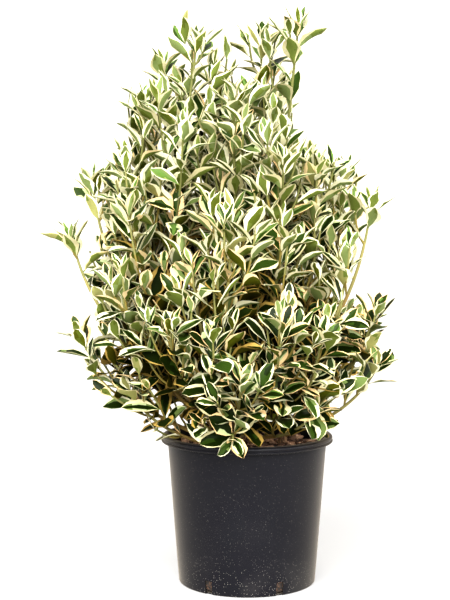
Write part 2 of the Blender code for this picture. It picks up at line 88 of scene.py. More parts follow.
# Stems: foot on the soil, and the fork at the top where the leading shoot begins.
Stem = namedtuple("Stem", "foot fork foot_radius")
STEMS = {
    "centre": Stem((0.012, -0.008), (0.036, -0.012, 0.490), 0.0068),
    "left": Stem((-0.078, -0.050), (-0.116, -0.055, 0.480), 0.0066),
    "back": Stem((-0.004, 0.052), (0.012, 0.056, 0.500), 0.0064),
    "left_back": Stem((-0.058, 0.020), (-0.150, 0.022, 0.450), 0.0060),
    "right": Stem((0.062, 0.004), (0.118, 0.012, 0.430), 0.0062),
    "front": Stem((-0.022, -0.062), (-0.034, -0.104, 0.370), 0.0056),
}
STEM_TOP_RADIUS = 0.0040
STEM_FLARE = 0.0030
STEM_FLARE_HEIGHT = 0.014
STEM_CUT_HEIGHT = 0.006
STEM_POINTS = 7

# Shoots: the stem each grows from, the height where it leaves that stem (None where it carries on
# from the fork), its tip, and whether a bare bough comes before its leaves.
Shoot = namedtuple("Shoot", "stem leaves_at tip bough")
SHOOTS = {
    "right_crest": Shoot("centre", None, (0.087, -0.020, 0.962), False),
    "left_crest": Shoot("left", None, (-0.087, -0.030, 0.934), False),
    "middle_crest": Shoot("back", None, (0.026, 0.030, 0.949), False),
    "left_shoulder": Shoot("left_back", None, (-0.179, -0.010, 0.841), False),
    "right_shoulder": Shoot("right", None, (0.173, 0.030, 0.716), False),
    "front_middle": Shoot("front", None, (-0.025, -0.150, 0.629), False),
    "left_peak": Shoot("left_back", 0.400, (-0.148, 0.060, 0.903), True),
    "inner_peak": Shoot("back", 0.400, (-0.058, 0.020, 0.899), True),
    "front_peak": Shoot("centre", 0.360, (-0.027, -0.070, 0.834), True),
    "left_side": Shoot("left", 0.330, (-0.204, -0.060, 0.734), True),
    "left_arm": Shoot("left_back", 0.310, (-0.271, 0.020, 0.695), True),
    "left_wing": Shoot("left", 0.312, (-0.299, -0.050, 0.605), True),
    "left_middle": Shoot("left", 0.294, (-0.210, -0.100, 0.520), False),
    "right_front": Shoot("right", 0.340, (0.118, -0.060, 0.720), True),
    "right_arm": Shoot("right", 0.370, (0.212, -0.020, 0.656), True),
    "right_middle": Shoot("right", 0.330, (0.165, -0.110, 0.560), False),
    "right_wing": Shoot("right", 0.275, (0.219, -0.060, 0.476), True),
    "front_right": Shoot("centre", 0.300, (0.059, -0.110, 0.723), True),
    "front_left": Shoot("front", 0.310, (-0.090, -0.150, 0.560), True),
    "back_peak": Shoot("back", 0.350, (-0.030, 0.140, 0.800), True),
    "back_left": Shoot("left_back", 0.340, (-0.130, 0.160, 0.700), True),
    "back_right": Shoot("back", 0.310, (0.110, 0.150, 0.690), True),
    "back_middle": Shoot("back", 0.280, (0.010, 0.215, 0.520), True),
    "left_low": Shoot("left", 0.262, (-0.280, -0.090, 0.435), False),
    "left_foot": Shoot("left", 0.250, (-0.194, -0.120, 0.350), False),
    "front_left_low": Shoot("left", 0.300, (-0.125, -0.180, 0.455), False),
    "front_low": Shoot("front", 0.300, (-0.062, -0.190, 0.420), False),
    "front_foot": Shoot("front", 0.275, (-0.010, -0.220, 0.375), False),
    "rim_front": Shoot("front", 0.250, (-0.023, -0.185, 0.278), False),
    "front_nose": Shoot("centre", 0.285, (0.057, -0.200, 0.457), False),
    "front_right_low": Shoot("right", 0.262, (0.119, -0.170, 0.440), False),
    "right_foot": Shoot("centre", 0.252, (0.116, -0.145, 0.325), False),
    "right_low": Shoot("right", 0.252, (0.220, -0.090, 0.390), False),
    "back_right_low": Shoot("right", 0.290, (0.205, 0.090, 0.450), False),
    "back_right_foot": Shoot("back", 0.256, (0.120, 0.175, 0.400), False),
    "back_left_low": Shoot("left_back", 0.265, (-0.165, 0.175, 0.430), False),
    "back_foot": Shoot("back", 0.250, (-0.030, 0.200, 0.370), False),
}

# A bough and its shoot: the share that is bare, and how steeply the two leave the stem and reach the tip.
BARE_SHARE = 0.24
START_DROP = math.radians(16)
END_RISE = math.radians(26)
MOST_CLIMB = math.radians(84)
ARCHED_BELOW = math.radians(20)
CURVE_PULL = 0.36
COURSE_POINTS = 48
COURSE_STEP = 0.012
BOUGH_RADIUS = 0.0034
BOUGH_TAPER = 0.82
SHOOT_RADIUS = 0.0028
SHOOT_RADIUS_GAIN = 0.0032
TWIG_TIP_RADIUS = 0.0017
TWIG_RADIUS = 0.0020

# Leaf pairs: close together at a tip, and a quarter turn between one pair and the next.
LEAF_WIDEST = 0.54
TIP_BARE = 0.002
FOOT_BARE = 0.016
FIRST_SPACING = 0.008
SPACING_GROWTH = 1.50
YOUNG_LENGTH = 0.60
LENGTH_PER_PAIR = 0.16
YOUNG_SPREAD = math.radians(23)
SPREAD_PER_PAIR = math.radians(9)
MOST_SPREAD = math.radians(54)
SUNWARD = 0.30
LEAF_LIFT = 0.14
LENGTH_PLAY = 0.13
ANGLE_PLAY = math.radians(11)
ROLL_PLAY = math.radians(30)
TIP_ROLL_SHARE = 11 / 30
UPRIGHT_SHARES = (1.0, 0.6, 0.3)  # of its spread, where a leaf stands closer to its twig
TIP_PAIRS = 4
FULL_AGE_PAIRS = 6  # pairs under a tip where a leaf is old

# Side twigs leave a shoot above its leaves, and bare limbs at every node.
SIDE_TWIG_FIRST = 3
SIDE_TWIG_SPREAD = math.radians(50)
SIDE_TWIG_LENGTH = 0.036
SIDE_TWIG_GAIN = 0.013
SIDE_TWIG_MOST = 0.170
SIDE_SPACING_GROWTH = 1.9
SIDE_TWIG_PLAY = (-0.3, 0.25)
SIDE_TWIG_AGE = 0.4
SIDE_TWIG_POINTS = 8
TURN_PLAY = 0.3
LEAST_LEAVES = 2  # on a side twig
OWN_WAY = 0.35  # how much a side twig keeps of the way it set out, next to its limb's and the way up
LIMB_WAY = 0.5
BEND_SHARES = (0.33, 0.67)  # of a side twig's length, before and after its bend
BEND_PULL = 0.2
ARM_TWIG_SHARE = 0.5  # of its length, where a side twig leaves an arm outside the crown's body
TWIG_RISE = 1.3
LOW_RISE = 0.25
RISES_FROM = (0.30, 0.46)
MOST_DROP = -0.15
LIMB_NODE = 0.022
LIMB_TWIG_SPREAD = math.radians(64)
LIMB_TWIG_LENGTH = (0.060, 0.160)
LIMB_FOOT_BARE = 0.022
NODE_PLAY = (0.8, 1.2)
SKY_HEIGHT = 1.0
SKY_DEPTH = 0.20
SKY_LEAST = 0.4  # of the reach, that is left to a twig's tip at the top of the crown

# How far the crown's body reaches to the left and the right at a height. Single shoots stand out of it.
CROWN_SIDES = (
    (0.22, -0.050, 0.020),
    (0.25, -0.060, 0.025),
    (0.27, -0.170, 0.148),
    (0.28, -0.190, 0.150),
    (0.30, -0.205, 0.165),
    (0.33, -0.235, 0.160),
    (0.36, -0.262, 0.185),
    (0.385, -0.300, 0.222),
    (0.41, -0.285, 0.248),
    (0.44, -0.295, 0.235),
    (0.46, -0.262, 0.235),
    (0.49, -0.262, 0.205),
    (0.52, -0.278, 0.152),
    (0.56, -0.295, 0.160),
    (0.60, -0.268, 0.186),
    (0.63, -0.245, 0.200),
    (0.66, -0.262, 0.222),
    (0.70, -0.275, 0.200),
    (0.72, -0.270, 0.205),
    (0.75, -0.235, 0.185),
    (0.78, -0.210, 0.085),
    (0.86, -0.205, 0.085),
    (0.90, -0.185, 0.092),
    (0.95, -0.140, 0.092),
    (1.01, -0.100, 0.110),
)
CROWN_DEPTH = 0.88  # as a share of its width
FRONT_NARROWS = 0.43  # how much narrower the crown's body gets for each metre towards its front

# How leaves keep clear: a leaf's rough corners, across in its widths and along and up in its lengths.
ROUGH_LEAF = ((0, 0.20, 0), (0.5, LEAF_WIDEST, 0.05), (0, 1, -0.10), (-0.5, LEAF_WIDEST, 0.05), (0, 0.55, 0))
ROUGH_FACES = ((0, 1, 4), (1, 2, 4), (2, 3, 4), (3, 0, 4))
CELL = 0.07  # the edge of the cells that leaves are looked up in
BOX_SLACK = 0.0025  # how far a leaf's rough corners may pass the CAD box
LEAF_BOX = np.array([tuple(CAD_LOW), tuple(CAD_HIGH)]) + [[-BOX_SLACK], [BOX_SLACK]]
SOIL_RIM = 0.006  # kept free inside the pot's wall
ROUGH_CLEARANCES = (0.002, 0.003, 0.003)  # metres over the lip, outside it and over the soil
LEAF_CLEARANCES = (0.001, 0.001, 0.002)

# What grows: a leaf's turn takes it from lying along Y to its place, and age runs from 0 to 1.
Leaf = namedtuple("Leaf", "root turn length age")
Twig = namedtuple("Twig", "path foot_radius tip_radius age")
Spray = namedtuple("Spray", "side twigs leaves")
GROWN = {}  # the sprays that were grown last, and the settings that they were grown from

# The pot's lip, as distances in from its edge, and down from its top or up from its foot.
LIP_DIP = ((0.0078, 0.0002), (0.0062, 0.0006))
LIP_ROLL = 0.0046
LIP_ROLL_CENTRE = 0.0052
LIP_GROOVE = ((0.0008, 0.0058), (0.0022, 0.0046), (0.0024, 0.0040), (0.0020, 0.0034))
LIP_BEAD = 0.0015
LIP_FOOT_RISE = 0.0002
NECK_ROUND = 0.004
CHAMFER = 0.0012
WALL_RINGS = (0.20, 0.14, 0.08, 0.03)
FOOT_RING = (0.012, 0.0135)  # the width of the ring that the pot stands on, and of its inner slope
FOOT_RISE = 0.0010
SLOT_DEPTH = 0.009
SLOT_ROUND = 0.0016

# The soil's section, and the relief of its top.
SOIL_FLAT_RADIUS = 0.108
SOIL_FLAT_RINGS = 30
SOIL_SHOULDER = (0.122, 0.002)
SOIL_EDGE_DROP = 0.004
SOIL_RINGS = (0.12, 0.03)
SOIL_FOOT = (0.0075, 0.001)
SOIL_FLOOR_INSET = 0.006
SOIL_STEPS = 96
SOIL_GRAIN = 60
SOIL_OCTAVES = 5
SOIL_FADE = 0.02  # the relief fades out within this of the wall
SOIL_SINK = 0.15

# Bark chips: lengths as shares of the usual one, and widths, depths and crooked corners as shares of a chip.
CHIP_EDGE = 0.010  # kept free inside the pot's wall
CHIP_LENGTHS = (0.5, 1.5)
CHIP_WIDTHS = (0.35, 0.7)
CHIP_DEPTHS = (0.12, 0.26)
CHIP_CORNER_PLAY = 0.22
CHIP_TILTS = (0.25, 0.22)  # usual tilts in radians, round a chip's length and its width
CHIP_BEVEL = 0.0004
BROWN_SHARE = 0.55

# Bark: how far the rings of old leaves lie apart and stand up, how fine its grain is, how much of the
# relief it has, and how much of it a film covers.
Bark = namedtuple("Bark", "ring_spacing ring_height grain depth film_share")
STEM_BARK = Bark(0.030, 0.00035, 420, 1.0, 0.06)
BOUGH_BARK = Bark(0.026, 0.00030, 520, 0.6, 0.10)
RING_WIDTH = 0.0016
FIRST_RING = (0.3, 0.9)  # shares of the ring spacing
RING_PLAY = (0.7, 1.3)
GRAIN_STRETCH = 7
GRAIN_OCTAVES = 4
NOISE_STEPS = (1.0, 2.0)  # how fast a noise's octaves weaken, and how much finer each is than the last
STEM_SUNK = 0.006  # how far a stem's bark goes down into the soil
BOUGH_OVERRUN = 0.004  # how far a bough runs on into its leafy shoot

# Twigs: their skins, and the shares of a twig's length where its skin changes.
Tone = namedtuple("Tone", "use color roughness gloss", defaults=(0.52, 0.05))
SKINS = {
    "young": Tone("Skin of the youngest twigs", (0.170, 0.165, 0.058), 0.55, 0.12),
    "green": Tone("Skin of green twigs", (0.220, 0.195, 0.070), 0.60, 0.12),
    "woody": Tone("Skin of the oldest twigs", (0.26, 0.18, 0.060), 0.75, 0.12),
    # Partly painted shade: the feet of side twigs inside the crown take this browner, darker skin, which is
    # partly older wood's own colour.
    "shaded": Tone("Skin of side twigs inside the crown", (0.19, 0.15, 0.038), 0.70, 0.12),
    "olive": Tone("Skin of the twigs high in the crown", (0.105, 0.108, 0.032), 0.60, 0.12),
}
OLIVE_ABOVE = 0.72  # metres to a twig's tip
SIDE_SKINS_AT = (0, 0.62, 1)
SHOOT_SKINS_AT = (0, 0.34, 0.74, 1)
TWIG_TAPER = 1.6

# Leaves: their corners stand in columns, 0 at the rib, 1 at the heart's edge, 2 at the green's, 3 at the rim.
UPPER_COLUMNS = (-3, -2, -1, 0, 1, 2, 3)
UNDER_COLUMNS = (-3, -2, 0, 2, 3)
RIM = 3
UNDER_EDGE = 4  # stands for column 2 on the underside, where the green ends elsewhere
UNDER_DROP = 0.05
LEAF_ROWS = 7
ROW_PLACES = np.array((0.0, 0.10, 0.24, 0.40, 0.56, 0.73, 0.88, 1.0))
ROW_WIDTHS = np.array((0.0, 0.12, 0.52, 0.88, 1.0, 0.80, 0.41, 0.0))
BLUNT_WIDTHS = np.array((0.0, 0.13, 0.52, 0.86, 1.0, 0.96, 0.70, 0.0))
WIDTH_PLAY = (0.78, 1.08)
YOUNG_WIDTH = 0.78
WIDENING = 3  # how many times faster than it ages a leaf widens
GREEN_PLAY = (0.080, 0.46, 0.91)  # by how much it differs by chance, and its limits
GREEN_OF_PALE = 0.48
EDGE_PLAY = (0.105, 0.25, 0.94)
UNDER_EDGE_INSET = 0.05
UNDER_EDGE_PLAY = (0.100, 0.30, 0.92)
HEART_SHARES = (0.25, 0.72)
BLUNT_LEAST = 0.1
BLUNT_PLAY = (0.6, 1.1)
RIM_PLAY = 0.045
ROW_PLAY = 0.008
CURL_PLAY = 0.32
YOUNG_CURL = 0.55
CURL_LEAST = 0.02
FOLD_PLAY = (0.12, 0.02, 0.75)
FOLD_AT_FOOT = 1.15
FOLD_LOSS = 0.5
WAVES = (5, 11)
WAVE_STARTS = (0, 6.28)
WAVE_HEIGHTS = (0.04, 0.26)
WAVE_SHIFT = 2
TWIST_PLAY = 0.32

# Heights in metres that a change in the leaves sets in at, and is full at.
NARROWER = (0.45, 0.80)
NARROWER_BY = 0.06
MORE_PALE = (0.5, 0.7)
WAIST_FROM_BELOW = (0.42, 0.54)
WAIST_FROM_ABOVE = (0.88, 0.76)
LESS_GREEN_LOW = (0.50, 0.38)
LESS_GREEN_LOW_BY = 0.02
LESS_GREEN_HIGH = (0.74, 0.88)
LESS_GREEN_HIGH_BY = 0.07
BLUNTER = (0.68, 0.42)
LOW_PART = (0.62, 0.32)
MIDDLE_PART = (0.74, 0.50)
HIGH_PART = (0.55, 0.75)
# Painted shade: where leaves deep inside the crown take darker tones that stand in for the shade there.
SHADED = (0.66, 0.46)
SHADED_OUT_TO = (0.60, 0.38, 0.26)  # shares of the way out: high up, what the low part adds, and the fade
YOUNG_AGE = 0.4
YOUNG_ABOVE = 0.45

# The tones of a leaf's faces, and which tones take the place of others.
TONES = {
    "deep_green": Tone("Darkest heart of a leaf", (0.0058, 0.0120, 0.0008), 0.34, 0.08),
    "green": Tone("Usual heart of a leaf", (0.0180, 0.036, 0.0040), 0.36, 0.08),
    "fresh_green": Tone("Heart of a young leaf", (0.066, 0.118, 0.022), 0.52, 0.10),
    "grey_green": Tone("Bluish heart of a leaf", (0.087, 0.120, 0.034), 0.52, 0.10),
    "sage": Tone("Pale green between heart and margin", (0.35, 0.395, 0.20), 0.52, 0.10),
    "cream": Tone("Palest margin", (0.500, 0.486, 0.320), 0.48),
    "butter": Tone("Yellow margin", (0.570, 0.520, 0.300), 0.50),
    "tan": Tone("Margin of an old leaf", (0.66, 0.46, 0.23), 0.58),
    # Painted light: a margin is painted dimmer on the upper face, which the lamps light most, than beneath.
    # The undersides are painted brighter than the upper faces, beyond an underside's own paler colour, to
    # make up for the light they miss.
    "under_olive": Tone("Usual underside", (0.144, 0.182, 0.038)),
    "under_moss": Tone("Darker underside", (0.076, 0.084, 0.006)),
    "under_pale": Tone("Underside of a young leaf", (0.200, 0.252, 0.088)),
    "under_fern": Tone("Darker blotches of an underside", (0.102, 0.126, 0.018)),
    "under_grey": Tone("Underside of an old leaf", (0.310, 0.305, 0.108)),
    "under_cream": Tone("Margin from beneath", (0.920, 0.880, 0.610)),
    "under_tan": Tone("Old margin from beneath", (0.90, 0.70, 0.40)),
    # Painted shade: darker tones that stand in for the shade there, for leaves deep inside the crown whatever
    # their age.
    "dim_green": Tone("Heart of an old leaf inside the crown", (0.0060, 0.0110, 0.0006)),
    "dim_margin": Tone("Margin of an old leaf inside the crown", (0.31, 0.21, 0.055)),
    "under_dim": Tone("Underside of an old leaf inside the crown", (0.040, 0.038, 0.002)),
}
TONE = {name: number for number, name in enumerate(TONES)}
BLOTCHES = {
    "under_olive": "under_fern",
    "under_moss": "under_fern",
    "under_pale": "under_olive",
    "under_grey": "under_olive",
}
# Which tone each part of a leaf takes where painted shade darkens it inside the crown.
PAINTED_SHADE_TONES = {
    "heart": "dim_green",
    "second": "dim_green",
    "margin": "dim_margin",
    "below_margin": "dim_margin",
    "below": "under_dim",
    "streak": "green",
}
STREAK_SHARES = (0.75, 0.75, 0.30, 0)  # of leaves: left band, right band, heart, and one draw that is spare
HEART_STREAK = 2
STREAK_ROWS = (1, 4)  # its length in rows of faces, always less than the second number
BLOTCH_SHARE = 0.6

# The soft lights: the setting with each one's strength, where it shines from and how many degrees it fills.
LAMPS = {
    "key": ("key", (-0.45, -1.9, 1.35), 55),
    "fill": ("fill", (1.9, -1.4, 0.75), 70),
    "back": ("back", (-0.8, 1.2, 2.2), 75),
    "left": ("left", (-2.2, -0.7, 0.6), 55),
    "side_left": ("side", (-2.0, 1.0, 0.5), 65),
    "side_right": ("side", (2.0, 0.9, 0.5), 65),
}
BACKDROP_COLOR = (1.0, 0.95, 0.86, 1)
FLOOR_MOTTLE = 0.985


# Materials

class Tree:
    """A short way to add nodes to a node tree and to link them."""

    def __init__(self, tree):
        self.tree = tree

    def feed(self, value, socket):
        """Links an output to a socket, or sets the socket's own value."""
        if isinstance(value, bpy.types.NodeSocket):
            self.tree.links.new(value, socket)
        else:
            socket.default_value = value

    def fill(self, node, values):
        """Sets a node up. A value named like one of the node's own settings goes there, others to inputs."""
        for key, value in values.items():
            if hasattr(node, key):
                setattr(node, key, value)
            else:
                self.feed(value, node.inputs[key.replace("_", " ")])
        return node

    def add(self, kind, **values):
        return self.fill(self.tree.nodes.new(kind), values)

    def shade(self, **values):
        """Sets up the material's Principled shader."""
        self.fill(self.tree.nodes["Principled BSDF"], values)

    def math(self, operation, first, second=0.0):
        node = self.add("ShaderNodeMath", operation=operation)
        self.feed(first, node.inputs[0])
        self.feed(second, node.inputs[1])
        return node.outputs[0]

    def mix(self, factor, first, second):
        """A mix of two colours, each an output or three numbers."""
        node = self.add("ShaderNodeMix", data_type="RGBA", Factor=factor)
        for color, socket in ((first, "A"), (second, "B")):
            linked = isinstance(color, bpy.types.NodeSocket)
            self.feed(color if linked else (*color, 1), node.inputs[socket])
        return node.outputs["Result"]

    def spread(self, value, given, result):
        """Takes a value from the range given to the range of the result."""
        low, high = given
        least, most = result
        node = self.add(
            "ShaderNodeMapRange", Value=value, From_Min=low, From_Max=high, To_Min=least, To_Max=most
        )
        return node.outputs["Result"]

    def group(self, name, **values):
        """A node of a shared group, which is built when it is first asked for."""
        if name not in bpy.data.node_groups:
            GROUPS[name](name)
        return self.add("ShaderNodeGroup", node_tree=bpy.data.node_groups[name], **values)

    def object_place(self, scale=(1, 1, 1)):
        """Object coordinates, stretched by a scale."""
        place = self.add("ShaderNodeTexCoord").outputs["Object"]
        return self.add("ShaderNodeMapping", Vector=place, Scale=scale).outputs["Vector"]

    def bump(self, height, strength, distance):
        node = self.add("ShaderNodeBump", Height=height, Strength=strength, Distance=distance)
        return node.outputs["Normal"]


def new_material(name, color, roughness, **sockets):
    """A node material and its tree: plain values sit on the Principled shader's own sockets."""
    made = bpy.data.materials.new(name)
    made.use_nodes = True
    made.diffuse_color = (*color, 1)
    tree = Tree(made.node_tree)
    tree.shade(Base_Color=(*color, 1), Roughness=roughness, **sockets)
    return made, tree


def new_group(name, inputs, outputs):
    """An empty shader node group: it takes a place and some numbers, and gives numbers."""
    made = bpy.data.node_groups.new(name, "ShaderNodeTree")
    made.interface.new_socket("Place", in_out="INPUT", socket_type="NodeSocketVector")
    for label, value in inputs.items():
        socket = made.interface.new_socket(label, in_out="INPUT", socket_type="NodeSocketFloat")
        socket.default_value = value
    for label in outputs:
        made.interface.new_socket(label, in_out="OUTPUT", socket_type="NodeSocketFloat")
    given = made.nodes.new("NodeGroupInput").outputs
    out = made.nodes.new("NodeGroupOutput").inputs
    return Tree(made), given, out


def patches_group(name):
    """Soft-edged patches of a noise: a mask from 0 to 1, and the noise itself as a height."""
    inputs = {"Scale": 10.0, "Detail": 3.0, "From": 0.45, "To": 0.6}
    tree, given, out = new_group(name, inputs, ("Mask", "Height"))
    cloud = {"Vector": given["Place"], "Scale": given["Scale"], "Detail": given["Detail"]}
    height = tree.add("ShaderNodeTexNoise", **cloud).outputs["Fac"]
    mask = tree.add("ShaderNodeMapRange", Value=height, From_Min=given["From"], From_Max=given["To"])
    mask.interpolation_type = "SMOOTHSTEP"
    tree.feed(mask.outputs["Result"], out["Mask"])
    tree.feed(height, out["Height"])


def specks_group(name):
    """Scattered specks: a mask that is 1 near a share of the cells' centres."""
    tree, given, out = new_group(name, {"Scale": 200.0, "Size": 0.2, "Share": 0.2}, ("Mask",))
    cells = tree.add("ShaderNodeTexVoronoi", Vector=given["Place"], Scale=given["Scale"])
    near = tree.math("LESS_THAN", cells.outputs["Distance"], given["Size"])
    pick = tree.add("ShaderNodeSeparateColor", Color=cells.outputs["Color"])
    chosen = tree.math("LESS_THAN", pick.outputs["Red"], given["Share"])
    tree.feed(tree.math("MULTIPLY", near, chosen), out["Mask"])


def veins_group(name):
    """A leaf's veins on its own map: a groove along the rib, and side veins that run on towards the tip."""
    inputs = {"Side Veins": 60.0, "Slant": 0.55, "Rib Width": 0.035, "Side Depth": 0.25}
    tree, given, out = new_group(name, inputs, ("Height",))
    place = tree.add("ShaderNodeSeparateXYZ", Vector=given["Place"])
    off_rib = tree.math("ABSOLUTE", tree.math("SUBTRACT", place.outputs["X"], 0.5))
    along = tree.math("SUBTRACT", place.outputs["Y"], tree.math("MULTIPLY", off_rib, given["Slant"]))
    wave = tree.math("SINE", tree.math("MULTIPLY", along, given["Side Veins"]))
    rib = tree.math("MINIMUM", tree.math("DIVIDE", off_rib, given["Rib Width"]), 1.0)
    tree.feed(tree.math("ADD", rib, tree.math("MULTIPLY", wave, given["Side Depth"])), out["Height"])


GROUPS = {"patches": patches_group, "specks": specks_group, "leaf_veins": veins_group}


def plastic_material(settings):
    """Matt black plastic with fine moulding grain, pale dust and a few scuffs, mostly near the foot."""
    made, tree = new_material(
        "black_pot_plastic",
        settings.plastic,
        settings.roughness,
        Specular_IOR_Level=0.17,
        Sheen_Weight=0.22,
        Sheen_Roughness=0.34,
        Sheen_Tint=(1.0, 0.86, 0.66, 1),
    )
    place = tree.object_place()
    height = tree.add("ShaderNodeSeparateXYZ", Vector=place).outputs["Z"]
    low = tree.spread(height, (0.07, 0.0), (0.10, 1.0))
    dust = tree.group("patches", Place=place, Scale=14.0, Detail=6.0, From=0.42, To=0.75).outputs
    fine = tree.group("specks", Place=place, Scale=430.0, Size=0.25, Share=0.28).outputs["Mask"]
    coarse = tree.group("specks", Place=place, Scale=320.0, Size=0.19, Share=0.13).outputs["Mask"]
    grain = tree.group("patches", Place=place, Scale=900.0, Detail=2.0, From=0.3, To=0.7).outputs["Height"]
    film = tree.math("MULTIPLY", dust["Mask"], tree.math("MULTIPLY", low, 0.03))
    near_foot = tree.math("MULTIPLY", tree.math("MULTIPLY", fine, low), 0.44)
    specks = tree.math("ADD", near_foot, tree.math("MULTIPLY", coarse, 0.13))
    tree.shade(
        Base_Color=tree.mix(tree.math("MAXIMUM", film, specks), settings.plastic, settings.dust),
        Roughness=tree.math("ADD", settings.roughness, tree.math("MULTIPLY", dust["Height"], 0.16)),
        Normal=tree.bump(grain, 0.16, 0.0004),
    )
    return made


def soil_material(settings):
    """Moist peat: near-black crumbs, with brown fibres that show less further down, as painted shade on the
    soil that shows through the drain slots.
    """
    made, tree = new_material("potting_soil", settings.peat, 0.92)
    place = tree.object_place()
    long = tree.object_place((1, 0.35, 0.6))
    crumbs = tree.group("patches", Place=place, Scale=230.0, Detail=5.0, From=0.42, To=0.62).outputs
    fibres = tree.group("patches", Place=long, Scale=420.0, Detail=3.0, From=0.53, To=0.64).outputs["Mask"]
    height = tree.add("ShaderNodeSeparateXYZ", Vector=place).outputs["Z"]
    # Painted shade: fewer fibres low down darken the soil behind the drain slots.
    fibres_and_painted_shade = tree.math("MULTIPLY", fibres, tree.spread(height, (0.05, 0.2), (0.25, 0.8)))
    body = tree.mix(crumbs["Mask"], settings.peat, settings.crumbs)
    tree.shade(
        Base_Color=tree.mix(fibres_and_painted_shade, body, settings.fibres),
        Roughness=tree.math("ADD", 0.78, tree.math("MULTIPLY", crumbs["Height"], 0.25)),
        Normal=tree.bump(crumbs["Height"], 0.8, 0.003),
    )
    return made


def chip_material(name, color):
    """A bark chip: long grain with darker lines."""
    made, tree = new_material(name, color, 0.85)
    place = tree.object_place((1, 1, 3))
    grain = tree.group("patches", Place=place, Scale=260.0, Detail=4.0, From=0.35, To=0.65).outputs
    dark = [channel * 0.45 for channel in color]
    tree.shade(Base_Color=tree.mix(grain["Mask"], dark, color), Normal=tree.bump(grain["Height"], 0.6, 0.001))
    return made


def bark_material(name, ridge, furrow, film, bark):
    """Bark with long furrows, paler ridges and a thin film of another tone in patches."""
    made, tree = new_material(name, ridge, 0.82)
    long = tree.object_place((1, 1, 0.16))
    furrows = tree.group("patches", Place=long, Scale=620.0, Detail=5.0, From=0.36, To=0.60).outputs
    patches = tree.group(
        "patches", Place=tree.object_place(), Scale=48.0, Detail=3.0, From=0.62 - bark.film_share, To=0.72
    )
    body = tree.mix(furrows["Mask"], furrow, ridge)
    tree.shade(
        Base_Color=tree.mix(tree.math("MULTIPLY", patches.outputs["Mask"], 0.7), body, film),
        Roughness=tree.math("ADD", 0.68, tree.math("MULTIPLY", furrows["Height"], 0.3)),
        Normal=tree.bump(furrows["Height"], 0.7, 0.0006),
    )
    return made


def twig_material(name, color, tone):
    """One skin of a twig: plain colour, with fine long ridges."""
    made, tree = new_material(name, color, tone.roughness, Specular_IOR_Level=tone.gloss)
    long = tree.object_place((1, 1, 0.2))
    ridges = tree.group("patches", Place=long, Scale=900.0, Detail=2.0, From=0.4, To=0.6)
    tree.shade(Normal=tree.bump(ridges.outputs["Height"], 0.35, 0.0003))
    return made


def leaf_material(name, color, tone):
    """One tone of a leaf: plain colour, veins in relief on the leaf's own map, and a waxy gloss."""
    made, tree = new_material(name, color, tone.roughness, Specular_IOR_Level=tone.gloss)
    own = tree.add("ShaderNodeUVMap", uv_map="leaf").outputs["UV"]
    veins = tree.group("leaf_veins", Place=own)
    tree.shade(Normal=tree.bump(veins.outputs["Height"], 0.30, 0.0005))
    return made


# Meshes and pieces

def mesh_of(bm, name, finishes=()):
    """A mesh with its materials, from a bmesh that isn't needed any more."""
    mesh = bpy.data.meshes.new(name)
    bm.to_mesh(mesh)
    bm.free()
    for finish in finishes:
        mesh.materials.append(finish)
    return mesh


def shown(name, data):
    """A new object in the scene for a mesh, a curve, a light or a camera."""
    made = bpy.data.objects.new(name, data)
    bpy.context.scene.collection.objects.link(made)
    return made


def new_piece(name, mesh, nodes=()):
    """Shows a mesh as a piece of the object: it rides with the plant and may stand for CAD nodes."""
    piece = shown(name, mesh)
    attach(piece, "root")
    if nodes:
        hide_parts(*nodes)
    return piece


def smooth(mesh, degrees):
    """Smooth shading, with an edge sharper than this left sharp."""
    mesh.shade_smooth()
    mesh.set_sharp_from_angle(angle=math.radians(degrees))


def applied(piece):
    """Replaces a piece's mesh by what its modifiers make of it."""
    bpy.context.view_layer.update()
    graph = bpy.context.evaluated_depsgraph_get()
    mesh = bpy.data.meshes.new_from_object(piece.evaluated_get(graph))
    piece.modifiers.clear()
    piece.data = mesh
    return mesh


def spun(profile, steps):
    """A bmesh turned round the Z axis from a profile of (radius, height) points."""
    bm = bmesh.new()
    corners = [bm.verts.new((radius, 0, height)) for radius, height in profile]
    edges = [bm.edges.new(pair) for pair in zip(corners, corners[1:])]
    bmesh.ops.spin(
        bm, geom=corners + edges, cent=(0, 0, 0), axis=(0, 0, 1), angle=math.tau, steps=steps, use_merge=True
    )
    bmesh.ops.remove_doubles(bm, verts=bm.verts, dist=MERGE)
    bmesh.ops.recalc_face_normals(bm, faces=bm.faces)
    return bm


def bevel(bm, edges, width, segments):
    """Rounds edges off by a width."""
    bmesh.ops.bevel(
        bm,
        geom=edges,
        offset=width,
        offset_type="OFFSET",
        affect="EDGES",
        segments=segments,
        profile=0.5,
        material=-1,
    )


def arc(centre, radius, start, end, count):
    """Points of a rounded corner in (radius, height), between two angles in degrees."""
    angles = [math.radians(start + (end - start) * i / count) for i in range(count + 1)]
    return [(centre[0] + radius * math.cos(a), centre[1] + radius * math.sin(a)) for a in angles]


# The pot

def wall_radius(pot, height):
    """The outer radius of the pot's body at a height."""
    return pot.foot_radius + (pot.top_radius - pot.foot_radius) * height / pot.height


